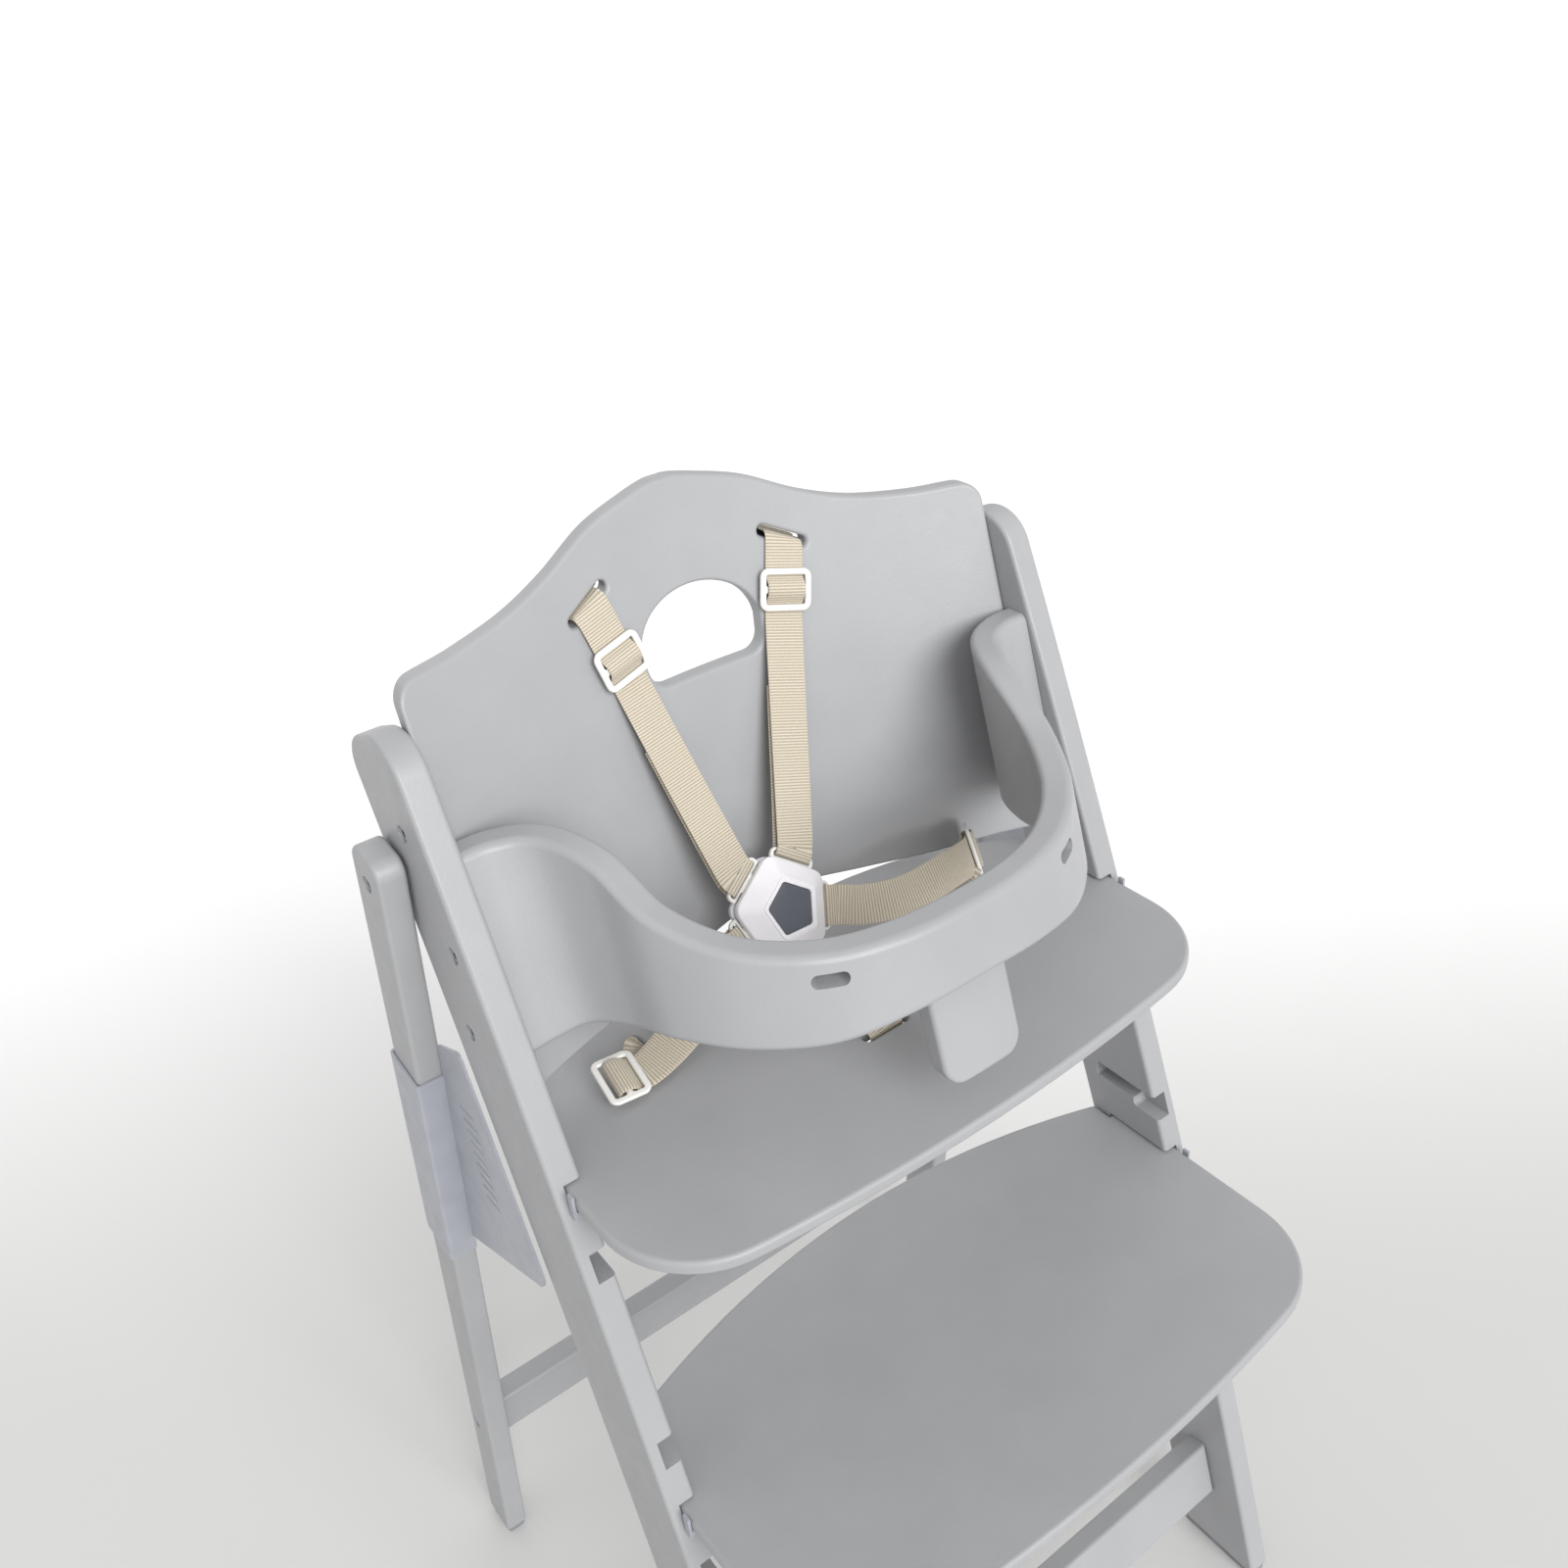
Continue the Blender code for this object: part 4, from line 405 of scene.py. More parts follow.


# Suns: place, softness and power; the floor's colour fades from a painted shade near the chair to white far
# off, along a line on it
lights = {"world": 0.70, "front": ((-0.2, -2.6, 1.9), math.radians(40), 2.8),
          "back": ((0.3, 2.4, 2.0), math.radians(60), 0.45), "aim": 0.6}
card = {"size": 240, "along": (0.7, 1, 0), "near": 0.15, "far": 1.4, "colours": ("#CECECD", "#FCFCFC")}


def makeLight():
    world = bpy.data.worlds.new("softStudio")
    world.use_nodes = True
    sky = world.node_tree.nodes["Background"]
    sky.inputs["Color"].default_value = linear("#FFFEFE")
    sky.inputs["Strength"].default_value = lights["world"]
    scene.world = world
    for name in ("front", "back"):
        place, softness, power = lights[name]
        bpy.ops.object.light_add(type="SUN", location=place)
        lamp = bpy.context.object
        lamp.name = name + "Light"
        lamp.data.angle = softness
        lamp.data.energy = power
        aim = Vector((0, 0, lights["aim"])) - Vector(place)
        lamp.rotation_euler = aim.to_track_quat("-Z", "Y").to_euler()


def makeFloor():
    # White card floor, its colour painted greyer in front of the chair than behind it: a painted shade
    # standing in for the chair's shadow and the light's falloff
    pick()
    bpy.ops.mesh.primitive_plane_add(size=card["size"])
    floor = bpy.context.object
    floor.name = "studioFloor"
    look, tree, shader = startLook("mattWhiteCardPaintedShade", "painted_beech", **{"Roughness": 0.9})
    coords = addNode(tree, "ShaderNodeTexCoord").outputs["Object"]
    depth = addNode(tree, "ShaderNodeVectorMath", {"operation": "DOT_PRODUCT"},
                    {0: coords, 1: card["along"]}).outputs["Value"]
    # painted shade: the card's colour darkens towards the chair
    paintedShadeFade = addNode(tree, "ShaderNodeMapRange", {"interpolation_type": "SMOOTHSTEP"},
                   {"Value": depth, "From Min": card["near"], "From Max": card["far"]}).outputs["Result"]
    tree.links.new(tint(tree, paintedShadeFade, *card["colours"]), shader.inputs["Base Color"])
    floor.data.materials.append(look["material"])


makeCamera()
makeLight()
makeFloor()
print("camera, light and floor made")


# Front legs: bowed boards, with grooves for the seat and footrest

frontLeg = {"thick": 0.018, "width": 0.066, "lean": math.radians(21.2), "bow": 5.38, "top": 0.2385,
            "frontRound": 0.028, "rearRound": 0.020, "roundClear": 1.6, "edge": 0.0028, "bowSteps": 24,
            "footRound": 0.003}
groove = {"thick": 0.0092, "slot": 0.0112, "endRound": 0.0022, "depth": 0.011, "notch": 0.017,
          "notchRound": 0.004, "stepRound": 0.0008, "reach": 0.0515, "pitch": 0.0403, "seats": 2,
          "footTop": 0.156, "feet": 5, "used": 1}
pad = {"thick": 0.005, "inset": 0.0015, "round": 0.003, "edge": 0.0009}
bolt = {"radius": 0.0025, "pivotRadius": 0.003, "head": 0.0048, "headHeight": 0.0042, "sink": 0.0012,
        "socket": 0.0025, "socketDepth": 0.0025, "sides": 40, "rim": 0.0007, "ease": 0.3}


def legFront(height):
    return height * math.tan(frontLeg["lean"]) + height ** 2 / (2 * frontLeg["bow"])


def legSlope(height):
    return math.atan(math.tan(frontLeg["lean"]) + height / frontLeg["bow"])


def legRear(height):
    return legFront(height) + frontLeg["width"] / math.cos(legSlope(height))


legOuter = legInner + frontLeg["thick"]
rearInner = legOuter + rearLeg["foldGap"]
rearOuter = rearInner + rearLeg["thick"]
floorLevel = pad["thick"] + touch - chair["seatHeight"]
seatGrooves = [-groove["pitch"] * k for k in range(groove["seats"])]
footGrooves = [-groove["footTop"] - groove["pitch"] * k for k in range(groove["feet"])]
footTop = footGrooves[groove["used"]]


def rearLine(down, across):
    lean = rearLeg["splay"]
    along = Vector((math.sin(lean), -math.cos(lean)))
    back = Vector((math.cos(lean), math.sin(lean)))
    return Vector((rearLeg["pivotDepth"], rearLeg["pivotHeight"])) + along * down + back * across


def rearDrop(height, across):
    lean = rearLeg["splay"]
    return (rearLeg["pivotHeight"] + across * math.sin(lean) - height) / math.cos(lean)


# Backrest and guard lines are shared with the bolts that go into them
back = {"thick": 0.011, "radius": 0.495, "depth": 0.0840, "corner": 0.2500, "crown": 0.0430,
        "cornerRound": 0.012, "cornerEase": 0.0018, "lower": 0.020, "arch": 0.0145, "edge": 0.0025,
        "topShares": ((0, 1), (0.045, 0.99), (0.13, 0.90), (0.28, 0.70), (0.45, 0.33), (0.61, 0.10),
                      (0.79, 0)),
        "lowShares": ((0, 1), (0.16, 0.88), (0.35, 0.46), (0.60, 0.08), (0.85, 0.10)), "bends": 64,
        "holeWidth": 0.084, "holeFloor": 0.181, "holeHeight": 0.0505, "holeRound": 0.012,
        "dome": 0.62, "floorShare": 0.93, "domeSteps": 40,
        "slotSide": 0.0686, "slotDrop": 0.0082, "slotTilt": math.radians(27), "entry": 0.007,
        "boltHeights": (0.0660, 0.1785)}
guard = {"thick": 0.018, "reach": 0.152, "level": 0.120, "frontTop": 0.1295,
         "hump": 0.0410, "frontBottom": 0.090, "fall": 0.034, "edge": 0.0045, "steps": 12,
         "side": (0, 0.225, 0.43, 0.605, 0.7175, 0.7625, 0.825, 0.9125, 1),
         "depthShares": (0, 0.026, 0.125, 0.305, 0.536, 0.76, 0.926, 0.992, 1),
         "topShares": (0.01, 0, 0, 0.10, 0.38, 0.84, 0.98, 1, 1),
         "fallShares": (0, 0.08, 0.26, 0.32, 0.40, 0.59, 0.76, 0.94, 1),
         "slotInset": 0.1168, "slotHeight": 0.1165, "slotLength": 0.0200, "slotWidth": 0.0075,
         "boltHeight": 0.1190, "boltEntry": 0.012}
web = {"width": 0.025, "thick": 0.0013, "slotLength": 0.033, "slotWidth": 0.007, "crotchInset": 0.015,
       "waistInset": 0.080, "waistDepth": 0.061, "slotRound": 0.49}


def backFront(side, height):
    return (back["depth"] + chair["rake"] * height - back["radius"]
            + math.sqrt(back["radius"] ** 2 - side ** 2))


def backLean(side):
    return math.asin(side / back["radius"])


shoulderSlot = back["corner"] - back["slotDrop"]
waistSlot = legInner - web["waistInset"]
guardEnd = backFront(legInner, guard["level"]) - touch - guard["thick"]
boltSide = legInner - back["entry"] / 2
backBolts = [(backFront(boltSide, h) + back["thick"] / 2 / math.cos(backLean(boltSide)), h)
             for h in back["boltHeights"]]
guardBolt = (guardEnd + guard["thick"] / 2 + chair["rake"] * (guard["boltHeight"] - guard["level"]),
             guard["boltHeight"])
rail = {"height": 0.045, "thick": 0.018, "edge": 0.003, "rearClimb": 0.150, "frontClimb": 0.085,
        "entry": 0.026}
frontRailHeight = rail["frontClimb"] - chair["seatHeight"]
frontRailBolt = Vector(((legFront(frontRailHeight) + legRear(frontRailHeight)) / 2, frontRailHeight))
rearRailBolt = rearLine(rearDrop(rail["rearClimb"] - chair["seatHeight"], 0),
                        (rearLeg["width"] - rail["thick"]) / 2)
pivotAxis = (rearLeg["pivotDepth"], rearLeg["pivotHeight"])


def slotOutline(centre, length, width, tilt=0.0):
    outline = roundedBox(-length / 2, -width / 2, length / 2, width / 2, width * web["slotRound"], 8)
    return [Matrix.Rotation(tilt, 2) @ p + Vector(centre) for p in outline]


def spinProfile(name, profile, depth, height, sides):
    # Turned about an axis along X; the profile lists (x, radius) from out to in
    edges = [(i, i + 1) for i in range(len(profile) - 1)]
    piece = meshPiece(name, [(x, r, 0) for x, r in profile], edges, [])
    pick(piece)
    bpy.ops.object.mode_set(mode="EDIT")
    bpy.ops.mesh.select_all(action="SELECT")
    bpy.ops.mesh.spin(steps=sides, angle=math.tau, center=(0, 0, 0), axis=(1, 0, 0))
    bpy.ops.mesh.select_all(action="SELECT")
    bpy.ops.mesh.remove_doubles(threshold=chair["weld"])
    bpy.ops.object.mode_set(mode="OBJECT")
    return turnOutwards(shift(piece, 0, depth, height))


def boltHole(outerFace, depth, height, holeEnd, radius):
    start, foot = outerFace + over, outerFace - bolt["sink"] - bolt["headHeight"] - touch
    wide, narrow = bolt["head"] + touch, radius + touch
    profile = [(start, 0), (start, wide), (foot, wide), (foot, narrow), (holeEnd, narrow), (holeEnd, 0)]
    return spinProfile("hole", profile, depth, height, bolt["sides"])


def innerHole(start, end, place, radius):
    return roundBar("hole", (start, *place), (end, *place), radius + touch)


def makeFrontLegs():
    bottom, steps = floorLevel, frontLeg["bowSteps"]
    rearTop = frontLeg["top"] - frontLeg["width"] * math.sin(legSlope(frontLeg["top"]))
    front = [bottom + (frontLeg["top"] - bottom) * k / steps for k in range(steps + 1)]
    rear = [rearTop + (bottom - rearTop) * k / steps for k in range(steps + 1)]
    # A bow point that the round at the top would swallow is left out
    clear = frontLeg["roundClear"]
    front = [h for h in front[:-1] if h < frontLeg["top"] - frontLeg["frontRound"] * clear] + front[-1:]
    rear = rear[:1] + [h for h in rear[1:] if h < rearTop - frontLeg["rearRound"] * clear]
    corners = [(legFront(h), h) for h in front] + [(legRear(h), h) for h in rear]
    radii = [0] * len(corners)
    radii[0] = radii[-1] = frontLeg["footRound"]
    radii[len(front) - 1] = frontLeg["frontRound"]
    radii[len(front)] = frontLeg["rearRound"]
    leg = standBoard(sawBoard("leg", roundCorners(corners, radii, 14), frontLeg["thick"], frontLeg["edge"]),
                     legInner)
    past, cutters = legInner - over, []
    radii = (0, groove["endRound"], groove["endRound"], groove["stepRound"], groove["notchRound"], 0)
    for top in seatGrooves + footGrooves:
        end, step = legFront(top) + groove["reach"], legFront(top) + groove["notch"]
        slot, notch = top - groove["slot"], top - groove["notch"]
        mouth = legFront(notch) - over * 2
        outline = [(mouth, top), (end, top), (end, slot), (step, slot), (step, notch), (mouth, notch)]
        cutter = sawBoard("groove", roundCorners(outline, radii, 5), groove["depth"] + over)
        cutters.append(standBoard(cutter, past))
    carve(leg, together(cutters))
    holes = [boltHole(legOuter, *place, past, bolt["radius"])
             for place in (*backBolts, guardBolt, frontRailBolt)]
    holes.append(innerHole(past, legOuter + over, pivotAxis, bolt["pivotRadius"]))
    carve(leg, together(holes))
    finishPair(leg, "front_leg", lacquer)


def makeRearLegs():
    half, bottom = rearLeg["width"] / 2, floorLevel
    corners = [rearLine(-rearLeg["topReach"], half), rearLine(-rearLeg["topReach"], -half),
               rearLine(rearDrop(bottom, -half), -half), rearLine(rearDrop(bottom, half), half)]
    radii = (rearLeg["topRound"], rearLeg["topRound"], pad["round"], pad["round"])
    leg = standBoard(sawBoard("leg", roundCorners(corners, radii, 12), rearLeg["thick"], frontLeg["edge"]),
                     rearInner)
    past = rearInner - over
    carve(leg, together([boltHole(rearOuter, *rearRailBolt, past, bolt["radius"]),
                         boltHole(rearOuter, *pivotAxis, past, bolt["pivotRadius"])]))
    finishPair(leg, "rear_leg", lacquer, "rear_frame", "rear_frame")


def makeRail(node, halfLength, centre, lean, body):
    half = rail["height"] / 2
    piece = sawBoard(node, rectangle(-halfLength, -half, halfLength, half), rail["thick"], rail["edge"])
    turn = Matrix.Rotation(-lean, 4, "X") @ Matrix.Rotation(math.pi / 2, 4, "X")
    piece.data.transform(Matrix.Translation((0, *centre)) @ turn)
    hole = innerHole(halfLength - rail["entry"], halfLength + over, centre, bolt["radius"])
    carve(piece, together([hole, mirrorCopy(hole, "other")]))
    finishPiece(piece, node, lacquer, body)


def makeBolt(node, outerFace, axis, shankEnd, radius, body="frame", name=""):
    top = outerFace - bolt["sink"]
    foot, head, rim = top - bolt["headHeight"], bolt["head"], bolt["rim"]
    ease = rim * bolt["ease"]
    profile = [(top, 0), (top, head - rim), (top - ease, head - ease), (top - rim, head), (foot, head),
               (foot, radius), (shankEnd + rim, radius), (shankEnd, radius - rim), (shankEnd, 0)]
    piece = spinProfile("bolt", profile, *axis, bolt["sides"])
    carve(piece, roundBar("socket", (top - bolt["socketDepth"], *axis), (top + over, *axis),
                          bolt["socket"], 6))
    finishPair(piece, node, steel, body, body, name)


def makePads():
    half, inset = rearLeg["width"] / 2, pad["inset"]
    rear = [rearLine(rearDrop(floorLevel, side), side)[0] for side in (-half, half)]
    for name, near, far, inside, outside, body in (
            ("front", legFront(floorLevel), legRear(floorLevel), legInner, legOuter, "frame"),
            ("rear", *rear, rearInner, rearOuter, "rear_frame")):
        outline = roundedBox(inside + inset, near + inset, outside - inset, far - inset, pad["round"], 6)
        piece = sawBoard(name, outline, pad["thick"], pad["edge"], edgeSteps=3)
        shift(piece, 0, 0, pad["thick"] / 2 - chair["seatHeight"])
        finishPair(piece, name + "_foot_pad", padPlastic, body, body)


makeFrontLegs()
makeRearLegs()
boardSide, thin = legInner - touch, bolt["radius"]
makeRail("front_cross_rail", boardSide, frontRailBolt, legSlope(frontRailHeight), "frame")
makeRail("rear_cross_rail", rearInner - touch, rearRailBolt, -rearLeg["splay"], "rear_frame")
backEnd = boardSide - back["entry"]
makeBolt("backrest_bolt_lower", legOuter, backBolts[0], backEnd, thin, name="backBoltLower")
makeBolt("backrest_bolt_upper", legOuter, backBolts[1], backEnd, thin, name="backBoltUpper")
makeBolt("guard_bolt", legOuter, guardBolt, boardSide - guard["boltEntry"], thin)
makeBolt("front_rail_bolt", legOuter, frontRailBolt, legInner - rail["entry"], thin)
makeBolt("rear_rail_bolt", rearOuter, rearRailBolt, rearInner - rail["entry"], thin, "rear_frame")
makeBolt("pivot_bolt", rearOuter, pivotAxis, legInner + touch, bolt["pivotRadius"])
makePads()
print("legs, rails, bolts and pads made")


# Seat and footrest boards, resting in the leg grooves

board = {"endGap": 0.0005, "tongueRound": 0.004, "edge": 0.0028, "corner": 0.062, "bow": 0.016,
         "bowShares": (0, 0.12, 0.24, 0.36, 0.48, 0.6, 0.7), "rearSteps": 12,
         "seat": (0.108, 0.0755, 0.1230, 3), "foot": (0.145, 0.0660, 0.1036, 2)}


def boardLevel(top):
    return top - groove["slot"] + touch + groove["thick"] / 2


def boardOutline(top, overhang, waistReach, rear, power):
    front, bow, shares, steps = legFront(top), board["bow"], board["bowShares"], board["rearSteps"]
    half = legInner + groove["depth"] - board["endGap"]
    waist = legInner - touch - board["endGap"]
    ends, nose, start = front + groove["reach"] - board["endGap"], front - overhang, front + waistReach
    right = [(half * share, nose + bow * share ** 2) for share in shares]
    right += [(half, nose + bow), (half, ends), (waist, ends), (waist, start)]
    right += [(waist * k / steps, start + (rear - waistReach) * (1 - (k / steps) ** power))
              for k in range(steps - 1, -1, -1)]
    turn = board["tongueRound"]
    radii = [0] * len(shares) + [board["corner"], turn, 0, turn] + [0] * steps
    left = [(-x, y) for x, y in reversed(right[1:-1])]
    return roundCorners(right + left, radii + list(reversed(radii[1:-1])), 20)


def makeBoards():
    size = (web["slotLength"], web["slotWidth"])
    slots = [slotOutline((0, -web["crotchInset"]), *size)]
    slots += [slotOutline((sign * waistSlot, web["waistDepth"]), *size, math.pi / 2) for sign in (-1, 1)]
    for kind, top, shape, holes, body in (("seat", 0, board["seat"], slots, "frame"),
                                          ("footrest", footTop, board["foot"], (), "footrest")):
        piece = sawBoard(kind, boardOutline(top, *shape), groove["thick"], board["edge"], holes)
        finishPiece(shift(piece, 0, 0, boardLevel(top)), kind + "_board", lacquer, body)


makeBoards()
print("boards made")


# Backrest: ply bent round the child, with a hand hole and two shoulder slots

def makeBackrest():
    half = legInner - touch
    top = [Vector((half * x, back["corner"] + back["crown"] * rise)) for x, rise in back["topShares"]]
    top.append(Vector((half - back["cornerRound"] - back["cornerEase"], back["corner"])))
    low = [Vector((half * x, back["lower"] + back["arch"] * rise)) for x, rise in back["lowShares"]]
    crown = [smoothValue(top, k / 8) for k in range(8 * (len(top) - 1) + 1)]
    arch = [smoothValue(low, k / 8) for k in range(8 * (len(low) - 1) + 1)]
    corners = crown + [Vector((half, crown[-1].y)), Vector((half, arch[-1].y))] + list(reversed(arch))
    radii = [0] * len(crown) + [back["cornerRound"]] * 2 + [0] * len(arch)
    right = roundCorners(corners, radii, 10)
    outline = right + [Vector((-p.x, p.y)) for p in reversed(right[1:-1])]
    dome, reach, bottom = back["holeHeight"] * back["dome"], back["holeWidth"] / 2, back["holeFloor"]
    shoulder, foot = bottom + back["holeHeight"] - dome, reach * back["floorShare"]
    hole = roundCorners([(-reach, shoulder), (-foot, bottom), (foot, bottom), (reach, shoulder)],
                        [0, back["holeRound"], back["holeRound"], 0], 10)
    angles = [math.pi * k / back["domeSteps"] for k in range(1, back["domeSteps"])]
    hole += [Vector((reach * math.cos(angle), shoulder + dome * math.sin(angle))) for angle in angles]
    holes = [hole] + [slotOutline((sign * back["slotSide"], shoulderSlot), web["slotLength"],
                                  web["slotWidth"], -sign * back["slotTilt"]) for sign in (-1, 1)]
    piece = sawBoard("back", outline, back["thick"], back["edge"], holes)
    step = half * 2 / back["bends"]
    crossCut(piece, [-half + step * k for k in range(1, back["bends"])])

    def bend(p):
        behind = (back["thick"] / 2 - p.z) / math.cos(backLean(p.x))
        return Vector((p.x, backFront(p.x, p.y) + behind, p.y))

    shapeBy(piece, bend)
    cutters = []
    for place in backBolts:
        hole = innerHole(legInner - back["entry"] - touch * 2, legInner + over, place,
                         bolt["radius"])
        cutters += [hole, mirrorCopy(hole, "other")]
    carve(piece, together(cutters))
    finishPiece(piece, "backrest", lacquer)


makeBackrest()
print("backrest made")


# Front guard: bent round the front, with a hump at each side, and its crotch post

post = {"width": 0.055, "thick": 0.014, "bottom": 0.0245, "lap": 0.024, "corner": 0.012,
        "topRound": 0.004, "edge": 0.003, "bends": 12}


def guardRows():
    side = legInner - touch
    shares = zip(guard["side"], guard["depthShares"], guard["topShares"], guard["fallShares"])
    knots = [Vector((side * x, guardEnd - guard["reach"] * (1 - y), guard["frontTop"] + guard["hump"] * rise,
                     guard["frontBottom"] - guard["fall"] * fall)) for x, y, rise, fall in shares]
    right = knots + [Vector((side * 2 - knots[-2][0], *knots[-1][1:]))]
    full = [Vector((-k[0], *k[1:])) for k in reversed(right[1:])] + right
    steps = guard["steps"]
    return [smoothValue(full, 1 + k / steps) for k in range(steps * (len(full) - 3) + 1)]


def makeGuard():
    rows = guardRows()
    rings, tangents = [], []
    for i, row in enumerate(rows):
        ends = i in (0, len(rows) - 1)
        tangent = Vector((1, 0)) if ends else (rows[i + 1].xy - rows[i - 1].xy).normalized()
        tangents.append(tangent)
        inward = Vector((-tangent.y, tangent.x))
        ring = [(row.xy + inward * across, height)
                for across, height in roundedBox(0, row[3], guard["thick"], row[2], guard["edge"], 7)]
        rings.append([Vector((spot.x, spot.y + chair["rake"] * (height - guard["level"]), height))
                      for spot, height in ring])
    piece = turnOutwards(skinRings("guard", rings))
    slotSide = legInner - guard["slotInset"]
    near = min(range(len(rows)), key=lambda i: abs(rows[i][0] - slotSide))
    tangent = tangents[near]
    slot = sawBoard("slot", slotOutline((0, 0), guard["slotLength"], guard["slotWidth"]), guard["thick"] * 3)
    spot = rows[near].xy + Vector((-tangent.y, tangent.x)) * guard["thick"] / 2
    turn = Matrix.Rotation(math.atan2(tangent.y, tangent.x), 4, "Z") @ Matrix.Rotation(math.pi / 2, 4, "X")
    slot.data.transform(Matrix.Translation((*spot, guard["slotHeight"])) @ turn)
    hole = innerHole(legInner - guard["boltEntry"] - touch * 2, legInner + over,
                     guardBolt, bolt["radius"])
    carve(piece, together([slot, hole, mirrorCopy(slot, "otherSlot"), mirrorCopy(hole, "otherHole")]))
    finishPiece(piece, "front_guard", lacquer)


def makePost():             # lapped and glued behind the guard, following its curve and rake
    top, half = guard["frontBottom"] + post["lap"], post["width"] / 2
    radii = [post["corner"], post["corner"], post["topRound"], post["topRound"]]
    outline = roundCorners(rectangle(-half, post["bottom"], half, top), radii, 12)
    piece = sawBoard("post", outline, post["thick"], post["edge"])
    crossCut(piece, [-half + post["width"] * k / post["bends"] for k in range(1, post["bends"])])
    rows = guardRows()

    def stand(p):
        after = next(i for i, row in enumerate(rows) if row[0] > p.x)
        first, second = rows[after - 1], rows[after]
        outer = first[1] + (second[1] - first[1]) * (p.x - first[0]) / (second[0] - first[0])
        face = outer + guard["thick"] + touch
        return Vector((p.x, face + post["thick"] / 2 - p.z + chair["rake"] * (p.y - guard["level"]), p.y))

    shapeBy(piece, stand)
    finishPiece(piece, "crotch_post", lacquer)


makeGuard()
makePost()
print("guard and post made")


# Clear board catches: a D-shaped head with a moulded D line, a wall and a plug

catch = {"reach": 0.0165, "top": 0.0036, "wall": 0.0018, "lap": 0.009, "plug": 0.010, "edge": 0.0007,
         "lineInset": 0.0024, "line": 0.0010, "lineDepth": 0.0007, "turn": 0.6, "leastTurn": 0.001,
         "heelRound": 0.0004, "plugStart": 0.55, "wallStart": 0.62, "bridge": 0.45}


def makeCatches(node, top):
    high = boardLevel(top) + groove["thick"] / 2 + touch
    low = boardLevel(top) - groove["thick"] / 2 - touch
    front = legFront(high) - touch
    outside = legInner + groove["depth"] - board["endGap"] + touch + catch["wall"]
    inside, reach = legInner - catch["lap"], catch["reach"]

    def dLine(inset):
        corners = [(inside + inset, front - inset), (inside + inset, front - reach + inset),
                   (outside - inset, front - reach + inset), (outside - inset, front - inset)]
        turn, heel = max(reach * catch["turn"] - inset, catch["leastTurn"]), catch["heelRound"]
        return roundCorners(corners, [heel, turn, turn, heel], 10)

    wallTop = high + catch["top"] / 2
    piece = shift(sawBoard("catch", dLine(0), catch["top"], catch["edge"], edgeSteps=3), 0, 0, wallTop)
    line = sawBoard("line", dLine(catch["lineInset"]), catch["lineDepth"] * 2, 0,
                    [dLine(catch["lineInset"] + catch["line"])])
    carve(piece, shift(line, 0, 0, high + catch["top"]))
    foot = low - (groove["notch"] - groove["slot"] - touch) + touch
    wall, sideIn = catch["wall"], legInner + touch
    middle, bridge = (low + foot) / 2, (low - foot) * catch["bridge"]
    wallFront, wallRear = front - reach * catch["wallStart"], legFront(foot) - touch
    # An outer wall, a bridge under the board and a plug that fills the notch
    for x0, y0, x1, y1, bottom, ceiling in (
            (outside - wall, wallFront, outside, wallRear, foot, wallTop),
            (sideIn, wallFront, outside - wall / 2, wallRear - touch, middle - bridge, middle + bridge),
            (sideIn, front - reach * catch["plugStart"], outside - wall - touch, front + catch["plug"],
             foot, low)):
        block = sawBoard("block", rectangle(x0, y0, x1, y1), ceiling - bottom)
        carve(piece, shift(block, 0, 0, (bottom + ceiling) / 2), "UNION")
    finishPair(piece, node, clearPlastic, node + "_left", node + "_right")


makeCatches("seat_catch", 0)
makeCatches("footrest_catch", footTop)
print("catches made")


# Clear fold guards: a channel round the rear leg and a ribbed web in the wedge between the legs

foldGuard = {"wall": 0.0015, "top": 0.0, "length": 0.175, "foot": 0.105, "flap": 0.040, "gap": 0.0015,
             "ribs": 9, "ribDrop": 0.014, "ribPitch": 0.0085, "ribWidth": 0.0026, "ribRise": 0.0005,
             "ribLength": 0.018, "ribFront": 0.006, "ribBack": 0.004, "outerRound": 1.6, "innerRound": 0.6,
             "flapSeam": 0.7, "tail": 0.92}


